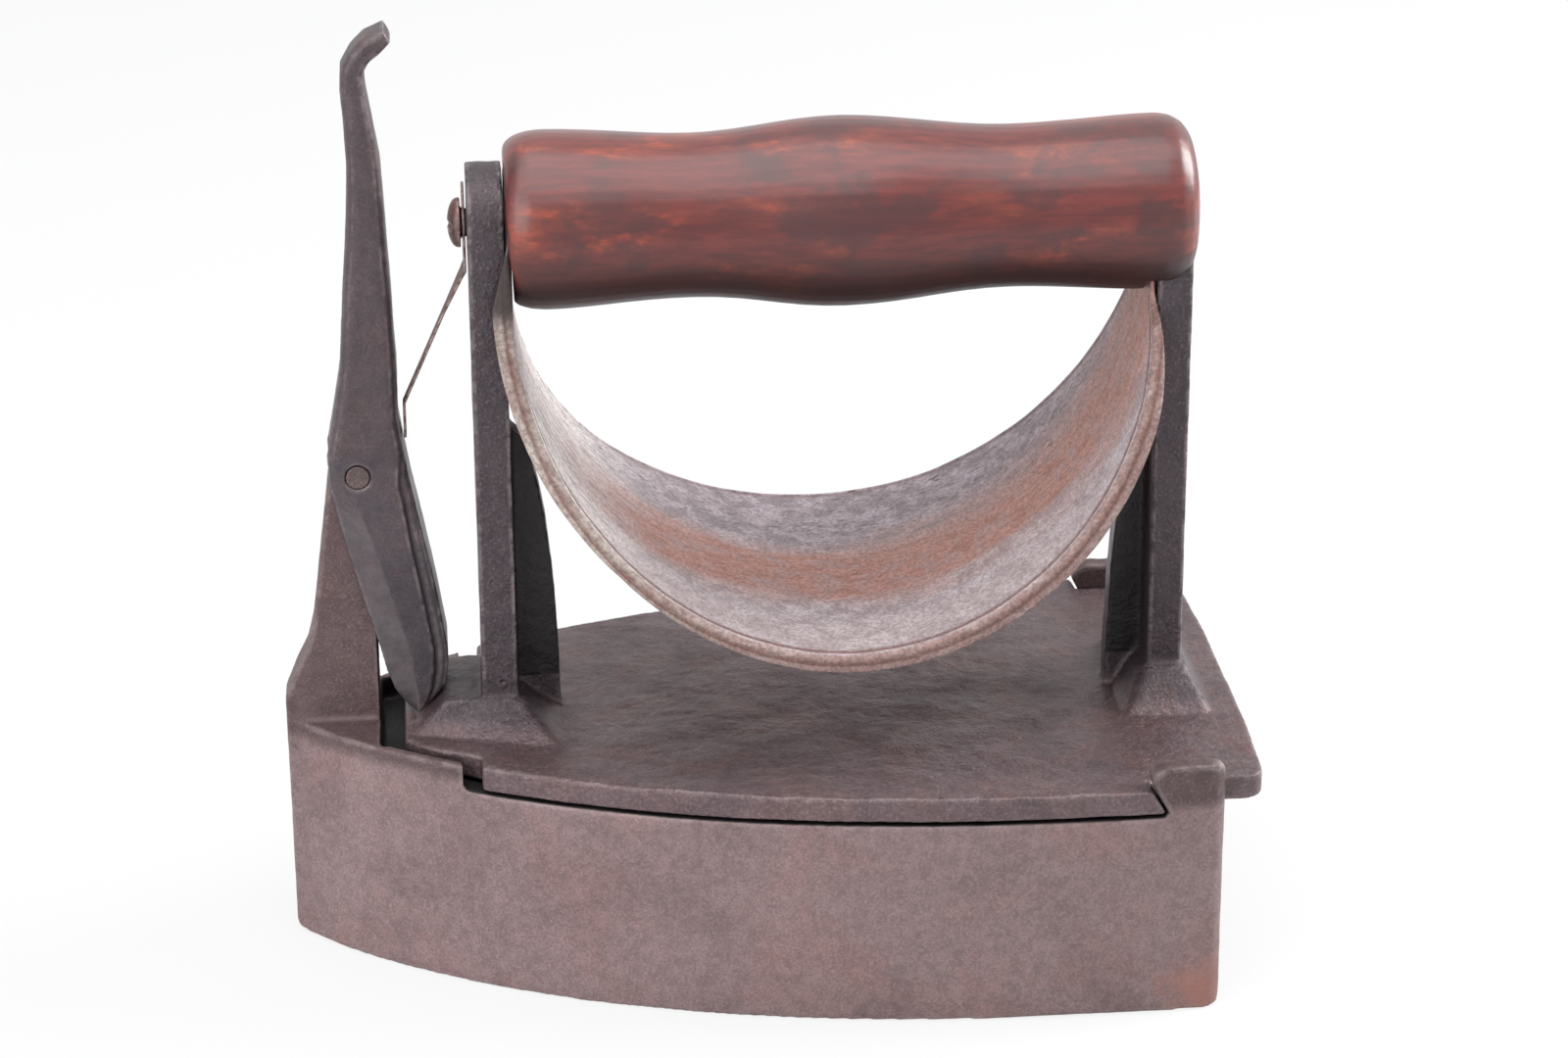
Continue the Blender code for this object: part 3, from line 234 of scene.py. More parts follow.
# Each lamp: where it stands, the point that it faces, its size in metres and its power in watts.
LAMPS = {"key_light": ((0.95, 0.15, 0.6), (0, 0, 0.07), 0.55, 12.0),
         "near_fill": ((-0.8, -0.7, 0.5), (0, 0, 0.05), 0.8, 6.0),
         "top_softbox": ((-0.1, -0.2, 1.2), (0, 0, 0.08), 1.3, 12.0)}


def seen_white(tree, mirrored):
    """1 for rays from the camera, a share for rays mirrored in the object, 0 for light that falls on it."""
    rays = tree.nodes.new("ShaderNodeLightPath").outputs
    return calc(tree, "MAXIMUM", rays["Is Camera Ray"], times(tree, rays["Is Glossy Ray"], mirrored))


def light_world():
    """A pale, even sky: white where it is seen, and softer where it only lights."""
    world = bpy.data.worlds.new("studio_sky")
    world.use_nodes = True
    tree = world.node_tree
    tree.nodes.clear()
    lit = add(tree, "ShaderNodeBackground", {"Color": SKY_TINT, "Strength": WORLD_LIGHT})
    shown = add(tree, "ShaderNodeBackground", {"Color": WHITE, "Strength": 1.0})
    both = add(tree, "ShaderNodeMixShader", {0: seen_white(tree, SKY_IN_GLOSS), 1: lit.outputs[0],
                                             2: shown.outputs[0]})
    add(tree, "ShaderNodeOutputWorld", {"Surface": both.outputs[0]})
    bpy.context.scene.world = world


def area_lamp(name, place, aim, size, power):
    """A square soft lamp that faces a point."""
    data = bpy.data.lights.new(name, "AREA")
    data.size = size
    data.energy = power
    lamp = bpy.data.objects.new(name, data)
    bpy.context.scene.collection.objects.link(lamp)
    lamp.location = place
    lamp.rotation_euler = (Vector(aim) - Vector(place)).to_track_quat("-Z", "Y").to_euler()


def lay_floor():
    """The white ground under the sole."""
    mesh = bpy.data.meshes.new("studio_floor")
    shape = bmesh.new()
    bmesh.ops.create_grid(shape, x_segments=1, y_segments=1, size=FLOOR_SIZE / 2)
    shape.to_mesh(mesh)
    shape.free()
    floor = bpy.data.objects.new("studio_floor", mesh)
    bpy.context.scene.collection.objects.link(floor)
    floor.location.z = -FLOOR_DROP
    material, tree, _ = new_material("white_ground")
    tree.nodes.clear()
    paper = add(tree, "ShaderNodeBsdfDiffuse", {"Color": FLOOR_PAPER})
    glow = add(tree, "ShaderNodeEmission", {"Color": WHITE, "Strength": 1.0})
    share = times(tree, seen_white(tree, 0.0), FLOOR_GLOW_SHARE)
    both = add(tree, "ShaderNodeMixShader", {0: share, 1: paper.outputs[0], 2: glow.outputs[0]})
    add(tree, "ShaderNodeOutputMaterial", {"Surface": both.outputs[0]})
    mesh.materials.append(material)


light_world()
lay_floor()
for lamp_name, settings in LAMPS.items():
    area_lamp(lamp_name, *settings)
print("lamps:", sorted(LAMPS), "on a floor of", FLOOR_SIZE, "m")

# %% [markdown]
# ## A skin for the castings
#
# Sand casting leaves no sharp edge: arrises are rounded by the sand and corners fill with a small fillet.
# The working model's castings have sharp edges, so each is copied, rebuilt as an even mesh by a voxel
# Remesh, and smoothed by a few passes. The even mesh also has points close enough together to take the dips
# and grains of the sand, which are pushed along the surface by noise.

# %% An even skin
SOFTENING = 0.5


def evaluated_copy(piece, name):
    """A piece with its modifiers applied, as a new plain mesh object; the old one is removed."""
    mesh = bpy.data.meshes.new_from_object(piece.evaluated_get(bpy.context.evaluated_depsgraph_get()))
    made = bpy.data.objects.new(name, mesh)
    bpy.context.scene.collection.objects.link(made)
    bpy.data.objects.remove(piece)
    return made


def cast_skin(node, name, cell, passes):
    """A copy of a node of the working model with an even mesh, soft edges and filled corners."""
    piece = bpy.data.objects.new(name + "_rough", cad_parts[node].data.copy())
    bpy.context.scene.collection.objects.link(piece)
    even = piece.modifiers.new("even", "REMESH")
    even.mode = "VOXEL"
    even.voxel_size = cell
    even.use_smooth_shade = True
    soften = piece.modifiers.new("soften", "SMOOTH")
    soften.factor = SOFTENING
    soften.iterations = passes
    return evaluated_copy(piece, name)


# %% Dips and grains of the sand
EVERYWHERE, FACING_UP = "everywhere", "facing up"
# What faces up fades in as the upward part of the normal goes from 0.45 to 0.95.
UP_GAIN, UP_START = 2, 0.9


def roughen(piece, layers):
    """Moves points along their normals by layers of noise: (lump size by axis, height, where), in mm."""
    mesh = piece.data
    moved = []
    for point, facing in zip(mesh.vertices, mesh.vertex_normals):
        upward = min(1.0, max(0.0, UP_GAIN * facing.vector.z - UP_START))
        lift = 0.0
        for sizes, height, where in layers:
            share = upward if where == FACING_UP else 1.0
            if share:
                place = Vector([value / (size * MM) for value, size in zip(point.co, sizes)])
                lift += height * MM * share * noise.noise(place)
        moved.extend(point.co + facing.vector * lift)
    mesh.vertices.foreach_set("co", moved)
    mesh.update()


# %% Arrises, and dressing a piece
ARRIS_PASSES = 4
LEAST_STEP = 1e-6


def mark_arrises(piece):
    """Stores how strongly the surface bends outward at each point, per mm, as the attribute "arris"."""
    mesh = piece.data
    places = numpy.empty((len(mesh.vertices), 3), numpy.float32)
    facings = numpy.empty_like(places)
    ends = numpy.empty((len(mesh.edges), 2), numpy.int32)
    mesh.vertices.foreach_get("co", places.ravel())
    mesh.vertex_normals.foreach_get("vector", facings.ravel())
    mesh.edges.foreach_get("vertices", ends.ravel())
    here = numpy.concatenate((ends[:, 0], ends[:, 1]))
    there = numpy.concatenate((ends[:, 1], ends[:, 0]))
    step = (places[there] - places[here]) / MM
    drop = -(step * facings[here]).sum(axis=1) / numpy.maximum((step * step).sum(axis=1), LEAST_STEP)
    neighbours = numpy.maximum(numpy.bincount(here, minlength=len(places)), 1)
    bend = numpy.bincount(here, drop, len(places)) / neighbours
    for _ in range(ARRIS_PASSES):
        bend = 0.5 * bend + 0.5 * numpy.bincount(here, bend[there], len(places)) / neighbours
    mesh.attributes.new("arris", "FLOAT", "POINT").data.foreach_set("value", bend.astype(numpy.float32))
    print(piece.name, "bends outward by up to", round(float(bend.max()), 2), "per mm")


def dress(piece, node, body, material):
    """Gives a piece its finish and its place in the working model."""
    mark_arrises(piece)
    piece.data.materials.clear()
    piece.data.materials.append(material)
    piece.data.shade_smooth()
    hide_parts(node)
    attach(piece, body)
    print(piece.name, "has", len(piece.data.polygons), "faces")


# %% [markdown]
# ## Shared effects
#
# Five effects come back in several finishes, so each is a group with its own sockets. *Cast grain* gives
# the height of the sandy surface and a mask of its bright specks, which are partly bare metal and partly
# painted glints. *Patina* mixes a body colour with warm and dark blotches. *Arris wear* finds the outer
# edges, where handling has rubbed the iron bright and a painted highlight is laid, and the hollows, which
# get painted shade. *Rust dust* collects in patches on what faces up. The last group gives the masks for
# painted shade on the inner walls of the chamber and on the sides of the ribs. It also tells what faces up,
# toward the toe or toward the heel.

# %% Cast grain
# How much wider apart than the fine grain the lumps and the pits are.
LUMP_SCALE, PIT_SCALE = 0.21, 0.34
FINE_HEIGHT, LUMP_HEIGHT = 0.45, 1.1
FINE_TONE, LUMP_TONE = 0.65, 0.35


def make_cast_grain():
    """Fine grain on wider lumps, with a few round pits where the lumps are high."""
    tree, source, result = new_group(
        "cast_grain",
        [("Grain Size", "NodeSocketFloat", 0.5 * MM), ("Pit Share", "NodeSocketFloat", 0.3)],
        [("Height", "NodeSocketFloat"), ("Speckle", "NodeSocketFloat"), ("Pits", "NodeSocketFloat"),
         ("Tone", "NodeSocketFloat")])
    place = object_place(tree)
    scale = calc(tree, "DIVIDE", 1.0, source.outputs["Grain Size"])
    fine = noise_at(tree, place, scale, 3.0, 0.7)
    lumps = noise_at(tree, place, times(tree, scale, LUMP_SCALE), 4.0, 0.6)
    cells = add(tree, "ShaderNodeTexVoronoi", {"Vector": place, "Scale": times(tree, scale, PIT_SCALE),
                                               "Randomness": 1.0})
    hollow = ramp(tree, cells.outputs["Distance"], 0.0, 0.32, 1.0, 0.0)
    pits = times(tree, times(tree, hollow, ramp(tree, lumps, 0.5, 0.68)), source.outputs["Pit Share"])
    height = calc(tree, "ADD", times(tree, fine, FINE_HEIGHT), times(tree, lumps, LUMP_HEIGHT))
    shade = calc(tree, "ADD", times(tree, fine, FINE_TONE), times(tree, lumps, LUMP_TONE))
    fill(tree, result, {"Height": calc(tree, "SUBTRACT", height, pits),
                        "Speckle": ramp(tree, fine, 0.56, 0.72),
                        "Pits": pits, "Tone": ramp(tree, shade, 0.38, 0.62, 0.72, 1.28)})
    return tree


cast_grain = make_cast_grain()


# %% Patina
DARK_SHIFT = (0.31, 0.17, 0.53)
DARK_SCALE = 0.7


def make_patina():
    """A body colour with warm and dark blotches. The dark ones are moved, so they lie apart from the warm."""
    tree, source, result = new_group(
        "patina",
        [("Body", "NodeSocketColor", colour(110, 100, 100)), ("Warm", "NodeSocketColor", colour(125, 95, 88)),
         ("Dark", "NodeSocketColor", colour(70, 64, 66)), ("Patch Size", "NodeSocketFloat", 16 * MM),
         ("Warm Share", "NodeSocketFloat", 0.6), ("Dark Share", "NodeSocketFloat", 0.6)],
        [("Color", "NodeSocketColor"), ("Patch", "NodeSocketFloat")])
    place = object_place(tree)
    scale = calc(tree, "DIVIDE", 1.0, source.outputs["Patch Size"])
    warm = noise_at(tree, place, scale, 5.0, 0.62, 0.4)
    moved = add(tree, "ShaderNodeVectorMath", {0: place, 1: DARK_SHIFT}, operation="ADD").outputs["Vector"]
    dark = noise_at(tree, moved, times(tree, scale, DARK_SCALE), 4.0, 0.6, 0.2)
    warm_mask = times(tree, ramp(tree, warm, 0.46, 0.66), source.outputs["Warm Share"])
    dark_mask = times(tree, ramp(tree, dark, 0.45, 0.68), source.outputs["Dark Share"])
    tinted = mix_colour(tree, warm_mask, source.outputs["Body"], source.outputs["Warm"])
    fill(tree, result, {"Color": mix_colour(tree, dark_mask, tinted, source.outputs["Dark"]), "Patch": dark})
    return tree


patina = make_patina()


# %% Arris wear, painted highlight and painted shade in hollows
def make_arris_wear_and_painted_light():
    """A broken mask of the outer edges, for wear and painted highlight, and a mask of the hollows for painted
    shade, from the attribute "arris".
    """
    tree, source, result = new_group(
        "arris_wear_and_painted_light",
        [("Start", "NodeSocketFloat", 0.06), ("Full", "NodeSocketFloat", 0.2),
         ("Break Size", "NodeSocketFloat", 3 * MM)],
        [("Edge", "NodeSocketFloat"), ("Hollow", "NodeSocketFloat")])
    place = object_place(tree)
    sharpness = add(tree, "ShaderNodeAttribute", attribute_name="arris").outputs["Fac"]
    edge = ramp(tree, sharpness, source.outputs["Start"], source.outputs["Full"])
    broken = noise_at(tree, place, calc(tree, "DIVIDE", 1.0, source.outputs["Break Size"]))
    fill(tree, result, {"Edge": times(tree, edge, ramp(tree, broken, 0.38, 0.6, 0.1, 1.0)),
                        "Hollow": ramp(tree, sharpness, -0.05, -0.2)})
    return tree


arris_wear_and_painted_light = make_arris_wear_and_painted_light()


# %% Rust dust
def make_rust_dust():
    """Clouds of dust, thick on what faces up and thin elsewhere."""
    tree, source, result = new_group(
        "rust_dust", [("Patch Size", "NodeSocketFloat", 9 * MM), ("Share", "NodeSocketFloat", 0.5)],
        [("Mask", "NodeSocketFloat")])
    facing = tree.nodes.new("ShaderNodeNewGeometry").outputs["Normal"]
    scale = calc(tree, "DIVIDE", 1.0, source.outputs["Patch Size"])
    cloud = noise_at(tree, object_place(tree), scale, 6.0, 0.68)
    upward = ramp(tree, split(tree, facing)["Z"], 0.1, 0.9, 0.25, 1.0)
    mask = times(tree, ramp(tree, cloud, 0.52, 0.7), upward)
    fill(tree, result, {"Mask": times(tree, mask, source.outputs["Share"])})
    return tree


rust_dust = make_rust_dust()


# %% Painted shade in the chamber and on the ribs, and facing masks
def make_shade_and_facing():
    """Masks by where a surface faces: into the chamber, sideways on a rib, up, toward the toe or the heel."""
    tree, source, result = new_group(
        "shade_and_facing", [("Rib Half", "NodeSocketFloat", 3.2 * MM), ("Rib Foot", "NodeSocketFloat", 50 * MM)],
        [("Inside", "NodeSocketFloat"), ("Rib", "NodeSocketFloat"), ("Upward", "NodeSocketFloat"),
         ("Toeward", "NodeSocketFloat"), ("Heelward", "NodeSocketFloat")])
    place = object_place(tree)
    facing = tree.nodes.new("ShaderNodeTexCoord").outputs["Normal"]
    outward = add(tree, "ShaderNodeVectorMath", {0: stretched(tree, place, (1, 1, 0))}, operation="NORMALIZE")
    turned_out = add(tree, "ShaderNodeVectorMath", {0: outward.outputs["Vector"], 1: facing},
                     operation="DOT_PRODUCT").outputs["Value"]
    parts, turned = split(tree, place), split(tree, facing)
    near_middle = calc(tree, "LESS_THAN", calc(tree, "ABSOLUTE", parts["Y"]), source.outputs["Rib Half"])
    above_foot = calc(tree, "GREATER_THAN", parts["Z"], source.outputs["Rib Foot"])
    sideways = ramp(tree, calc(tree, "ABSOLUTE", turned["Y"]), 0.4, 0.8)
    # Inside and Rib mark where painted shade goes: the chamber's inner walls and the sides of the ribs.
    fill(tree, result, {"Inside": ramp(tree, turned_out, -0.2, -0.6),
                        "Rib": times(tree, times(tree, near_middle, above_foot), sideways),
                        "Upward": ramp(tree, turned["Z"], 0.5, 0.9),
                        "Toeward": ramp(tree, turned["X"], -0.12, -0.3),
                        "Heelward": ramp(tree, turned["X"], 0.0, 0.7)})
    return tree


shade_and_facing = make_shade_and_facing()
print("groups:", [group.name for group in bpy.data.node_groups])

# %% [markdown]
# ## Cast iron
#
# All the castings share one recipe with different numbers. Under old iron's brown skin the metal is grey,
# so the body colour is broken by warm and dark blotches, specks partly of bare metal and partly painted
# glints catch the light, edges are rubbed lighter and carry a painted highlight, and hollows get painted
# shade. The
# Principled shader stays in the material, and groups only feed it. The numbers come first, one table for each
# casting, because they are what is changed when one piece is matched to the photograph.

# %% Numbers and colours of each casting
# Bare metal, also used for painted glints on the sandy grain and painted highlights on edges.
BARE_IRON_AND_GLINT = colour(176, 164, 162)
RUST_BROWN = colour(138, 84, 66)
RUST_BLOOM = colour(154, 102, 88)
# Painted light: the pale grey laid on the lever's toe-facing bevel, where it would catch the light.
TOE_LIGHT_GREY = colour(124, 116, 116)
# Painted shade: near-black laid on the chamber's walls, the ribs and the seat under the lid.
PAINTED_SHADE_BLACK = colour(22, 18, 19)
POST_TONE = colour(68, 58, 63)

# In these tables the shares for the inside and the ribs lay painted shade, the seat height marks where the
# lid's seat gets painted shade, the toe-side share paints light on the lever, and the two toe-to-heel factors
# paint light falling off toward the heel.
BASE_FINISH = {
    "body": colour(136, 115, 115), "warm_tone": colour(143, 112, 109), "dark_tone": colour(105, 88, 90),
    "patch": 18 * MM, "warm": 0.55, "dark": 0.4, "dust_patch": 12 * MM, "dust": 0.12,
    "grain": 0.45 * MM, "grain_tone": 0.75, "pits": 0.3, "speckle": 0.2, "bump": 0.8, "depth": 0.25 * MM,
    "wear_start": 0.05, "wear_full": 0.2, "wear": 0.5, "wear_high": 0.5, "toe_light": 0.0,
    "raised_from": 38.6 * MM, "raised": 0.85, "raised_tone": colour(84, 67, 68), "upward": 1.0,
    "inside": 0.95, "rib": 0.0, "rough": 0.58, "oil": 0.0,
    "bloom": (79 * MM, -48 * MM, 3 * MM), "seat": 38.4 * MM, "toe_to_heel_light": (1.12, 0.86)}
LID_FINISH = {
    "body": colour(102, 84, 87), "warm_tone": colour(114, 88, 86), "dark_tone": colour(72, 59, 63),
    "patch": 13 * MM, "warm": 0.55, "dark": 0.5, "dust_patch": 9 * MM, "dust": 0.2,
    "grain": 0.6 * MM, "grain_tone": 0.85, "pits": 0.6, "speckle": 0.2, "bump": 1.0, "depth": 0.5 * MM,
    "wear_start": 0.06, "wear_full": 0.22, "wear": 0.25, "wear_high": 0.65, "toe_light": 0.0,
    "raised_from": 43.9 * MM, "raised": 0.95, "raised_tone": POST_TONE, "upward": 0.0,
    "inside": 0.0, "rib": 0.93, "rough": 0.42, "oil": 0.12, "toe_to_heel_light": (1.0, 0.9)}
LEVER_FINISH = {
    "body": colour(74, 65, 70), "warm_tone": colour(84, 69, 72), "dark_tone": colour(50, 45, 51),
    "patch": 10 * MM, "warm": 0.6, "dark": 0.6, "dust_patch": 5 * MM, "dust": 0.25,
    "grain": 0.4 * MM, "grain_tone": 0.8, "pits": 0.35, "speckle": 0.05, "bump": 0.8, "depth": 0.2 * MM,
    "wear_start": 0.06, "wear_full": 0.22, "wear": 0.4, "wear_high": 0.4, "toe_light": 0.32,
    "raised_from": 94 * MM, "raised": 0.5, "raised_tone": colour(84, 70, 72), "upward": 0.0,
    "inside": 0.0, "rib": 0.0, "rough": 0.46, "oil": 0.15}
PIN_FINISH = dict(LEVER_FINISH, body=colour(88, 74, 73), warm_tone=colour(112, 86, 80),
                  dark_tone=colour(74, 60, 60), raised=0.0, speckle=0.4, wear=0.0, wear_high=0.0)
SLUG_FINISH = dict(LID_FINISH, body=colour(80, 74, 75), warm_tone=colour(110, 82, 70),
                   dark_tone=colour(50, 46, 48), dust=0.8, rough=0.75, rib=0.0, raised=0.0, oil=0.0)
print("numbers for each casting:", len(LID_FINISH))

# %% [markdown]
# ### The recipe in four steps
#
# The first step places the shared effects. The second builds the body colour: raised parts are darker, the
# base and the lid get painted light, lighter toward the toe and darker toward the heel, and rust blooms at
# the base's rear corner. The third wears it and paints light: hollows get painted shade, edges are rubbed
# bright and carry a painted highlight, strongest on those that face the heel, and the lever's toe side is
# painted lighter as if lit. The last lays painted shade on the chamber, the ribs and the seat under the lid,
# but not on the horns, which stand in the open above the walls.

# %% Iron: the shared effects in place
def iron_effects(tree, values):
    """The shared effects with a casting's own values, and where on the iron a point of it is."""
    place = object_place(tree)
    parts = split(tree, place)
    return {
        "place": place, "along": parts["X"], "height": parts["Z"],
        "grain": use_group(tree, cast_grain, {"Grain Size": values["grain"], "Pit Share": values["pits"]}),
        "skin": use_group(tree, patina, {
            "Body": values["body"], "Warm": values["warm_tone"], "Dark": values["dark_tone"],
            "Patch Size": values["patch"], "Warm Share": values["warm"], "Dark Share": values["dark"]}),
        "wear": use_group(tree, arris_wear_and_painted_light, {"Start": values["wear_start"], "Full": values["wear_full"]}),
        "dust": use_group(tree, rust_dust, {"Patch Size": values["dust_patch"], "Share": values["dust"]}),
        "shade_and_facing": use_group(tree, shade_and_facing)}


# %% Iron: body colour
RAISED_BLEND = 3 * MM
LIGHT_FALL_REACH = 80 * MM
BLOOM_LUMP, BLOOM_RAGGED = 4 * MM, 16 * MM
BLOOM_EDGE, BLOOM_HEART, BLOOM_SHARE = 19 * MM, 9 * MM, 0.65


def iron_body(tree, at, values):
    """The colour before wear: raised parts, grain, bright specks with painted glints, rust dust, painted
    light that falls off toward the heel, and a rust bloom.
    """
    raised = ramp(tree, at["height"], values["raised_from"], values["raised_from"] + RAISED_BLEND)
    raised = calc(tree, "MAXIMUM", raised, times(tree, at["shade_and_facing"]["Upward"], values["upward"]))
    tone = mix_colour(tree, times(tree, raised, values["raised"]), at["skin"]["Color"], values["raised_tone"])
    tone = mix_colour(tree, values["grain_tone"], tone, at["grain"]["Tone"], "MULTIPLY")
    # Bright specks: partly bare metal, partly painted glints of the sandy grain.
    tone = mix_colour(tree, times(tree, at["grain"]["Speckle"], values["speckle"]), tone, BARE_IRON_AND_GLINT)
    tone = mix_colour(tree, at["dust"]["Mask"], tone, RUST_BROWN)
    # Painted light: lighter toward the toe and darker toward the heel, for the way the light falls along the
    # iron.
    if "toe_to_heel_light" in values:
        toe_to_heel_light = ramp(tree, at["along"], -LIGHT_FALL_REACH, LIGHT_FALL_REACH, *values["toe_to_heel_light"])
        tone = mix_colour(tree, 1.0, tone, toe_to_heel_light, "MULTIPLY")
    if "bloom" in values:
        away = add(tree, "ShaderNodeVectorMath", {0: at["place"], 1: values["bloom"]}, operation="DISTANCE")
        ragged = times(tree, noise_value(tree, at["place"], BLOOM_LUMP, 5.0), BLOOM_RAGGED)
        away = calc(tree, "ADD", away.outputs["Value"], ragged)
        tone = mix_colour(tree, ramp(tree, away, BLOOM_EDGE, BLOOM_HEART, 0.0, BLOOM_SHARE), tone, RUST_BLOOM)
    return tone


# %% Iron: wear, painted highlight and painted shade
HOLLOW_SHADE_SHARE, PIT_DARKNESS = 0.7, 0.8
WEAR_LOW, WEAR_HIGH = 48 * MM, 54 * MM
HEELWARD_HIGHLIGHT, OTHER_WEAR = 0.65, 0.35
TOE_LIGHT_TOP, TOE_LIGHT_FULL, TOE_LIGHT_PATCH = 90 * MM, 82 * MM, 6 * MM


def iron_wear_and_painted_light(tree, tone, at, values):
    """Painted shade in hollows, edges rubbed bright and given a painted highlight, a painted light patch on
    the lever's toe side, and dark pits.
    """
    # Painted shade: hollows are darkened toward the casting's dark tone.
    tone = mix_colour(tree, times(tree, at["wear"]["Hollow"], HOLLOW_SHADE_SHARE), tone, values["dark_tone"])
    rubbed = ramp(tree, at["height"], WEAR_LOW, WEAR_HIGH, values["wear"], values["wear_high"])
    # Edges are partly rubbed bright and partly given a painted highlight, most on those facing the heel,
    # where the key light falls.
    heel_highlight_share = calc(tree, "ADD", times(tree, at["shade_and_facing"]["Heelward"], HEELWARD_HIGHLIGHT), OTHER_WEAR)
    rubbed = times(tree, at["wear"]["Edge"], times(tree, rubbed, heel_highlight_share))
    tone = mix_colour(tree, rubbed, tone, BARE_IRON_AND_GLINT)
    # Painted light: the lever's toe-facing side is lightened in patches, as if lit from the toe.
    toe_lit = ramp(tree, at["height"], TOE_LIGHT_TOP, TOE_LIGHT_FULL, 0.0, values["toe_light"])
    toe_lit = times(tree, at["shade_and_facing"]["Toeward"], toe_lit)
    toe_lit = times(tree, toe_lit, ramp(tree, noise_value(tree, at["place"], TOE_LIGHT_PATCH), 0.35, 0.6, 0.4, 1.0))
    tone = mix_colour(tree, toe_lit, tone, TOE_LIGHT_GREY)
    pits = calc(tree, "MULTIPLY", at["grain"]["Pits"], PIT_DARKNESS, clamp=True)
    return mix_colour(tree, pits, tone, values["dark_tone"])


# %% Iron: painted shade, and the whole recipe
HORN_FOOT, HORN_OPEN = 38.5 * MM, 39.5 * MM
HORN_START, HORN_FULL = 55 * MM, 60 * MM
SEAT_HALF = 1.2 * MM
IRON_METALLIC = 0.35
OIL_ROUGHNESS = 0.3
ROUGH_SPREAD, EDGE_POLISH = 0.08, 0.12


def paint_iron_shade(tree, tone, at, values):
    """Painted shade on the chamber's walls, on the ribs and on the seat under the lid, but not on the horns.
    """
    on_horn = times(tree, ramp(tree, at["height"], HORN_FOOT, HORN_OPEN),
                    ramp(tree, at["along"], HORN_START, HORN_FULL))
    painted_shade = times(tree, at["shade_and_facing"]["Inside"], values["inside"])
    painted_shade = times(tree, painted_shade, calc(tree, "SUBTRACT", 1.0, on_horn))
    painted_shade = calc(tree, "MAXIMUM", painted_shade, times(tree, at["shade_and_facing"]["Rib"], values["rib"]))
    if "seat" in values:
        under_lid = add(tree, "ShaderNodeMath", {0: at["height"], 1: values["seat"], 2: SEAT_HALF},
                        operation="COMPARE").outputs[0]
        painted_shade = calc(tree, "MAXIMUM", painted_shade, times(tree, at["shade_and_facing"]["Upward"], under_lid))
    return mix_colour(tree, painted_shade, tone, PAINTED_SHADE_BLACK)


def cast_iron(name, values):
    """A cast-iron finish with the numbers and colours of one casting."""
    material, tree, shader = new_material(name)
    at = iron_effects(tree, values)
    tone = iron_body(tree, at, values)
    tone = iron_wear_and_painted_light(tree, tone, at, values)
    tone = paint_iron_shade(tree, tone, at, values)
    rough = ramp(tree, at["skin"]["Patch"], 0.3, 0.7, values["rough"] - ROUGH_SPREAD,
                 values["rough"] + ROUGH_SPREAD)
    rough = calc(tree, "SUBTRACT", rough, times(tree, at["wear"]["Edge"], EDGE_POLISH))
    bump = add(tree, "ShaderNodeBump", {"Strength": values["bump"], "Distance": values["depth"],
                                        "Height": at["grain"]["Height"]})
    fill(tree, shader, {"Base Color": tone, "Metallic": IRON_METALLIC, "Roughness": rough,
                        "Coat Weight": values["oil"], "Coat Roughness": OIL_ROUGHNESS,
                        "Normal": bump.outputs["Normal"]})
    print(name, "has", len(tree.nodes), "nodes")
    return material


base_iron = cast_iron("base_iron", BASE_FINISH)
lid_iron = cast_iron("lid_iron", LID_FINISH)
lever_iron = cast_iron("lever_iron", LEVER_FINISH)
pin_iron = cast_iron("pin_iron", PIN_FINISH)
slug_iron = cast_iron("slug_iron", SLUG_FINISH)

# %% [markdown]
# ## The base
#
# Sole, walls, toe post and horns are one casting, ground flat below and left as cast above. A fine cell
# keeps the arrises crisp, and two layers of noise give the wall the faint swell of a hand-rammed mould. The
# slug inside is rougher, because the fire scales it, and it is hidden, so a coarse cell is enough.

# %% Base casting and slug
base = cast_skin("base_casting", "hollow_base", 0.5 * MM, 6)
roughen(base, [((14, 14, 14), 0.12, EVERYWHERE), ((2.4, 2.4, 2.4), 0.05, EVERYWHERE)])
dress(base, "base_casting", "base", base_iron)

slug = cast_skin("heat_slug", "iron_slug", 1.2 * MM, 3)
roughen(slug, [((5, 5, 5), 0.15, EVERYWHERE)])
dress(slug, "heat_slug", "base", slug_iron)

# %% [markdown]
# ## The lid
#
# The lid's top was the open side of the mould, so it is the roughest surface of the iron: long shallow
# ripples and small lumps, only on what faces up. The posts above it are smoother.

# %% Lid casting
lid = cast_skin("lid_casting", "lid_with_posts", 0.45 * MM, 6)
roughen(lid, [((13, 9, 11), 0.28, FACING_UP), ((4.2, 3.2, 3.2), 0.14, FACING_UP),
              ((1.7, 1.5, 1.5), 0.08, FACING_UP), ((8, 8, 8), 0.1, EVERYWHERE),
              ((1.6, 1.6, 1.6), 0.03, EVERYWHERE)])
dress(lid, "lid_casting", "lid", lid_iron)

# %% [markdown]
# ## The latch
#
# The thumb lever straddles the toe post and swings on a pin whose end shows as a faint ring on the cheek.
# Both get the same even mesh as the castings, with a smaller cell because they are smaller. The pin's rust
# has swelled it, so it almost fills its hole.

# %% Thumb lever and pin
PIN_SPREAD = 0.2 * MM

lever = cast_skin("thumb_lever", "thumb_lever_cast", 0.3 * MM, 8)
roughen(lever, [((7, 7, 9), 0.1, EVERYWHERE), ((1.6, 1.6, 1.6), 0.04, EVERYWHERE)])
dress(lever, "thumb_lever", "latch", lever_iron)

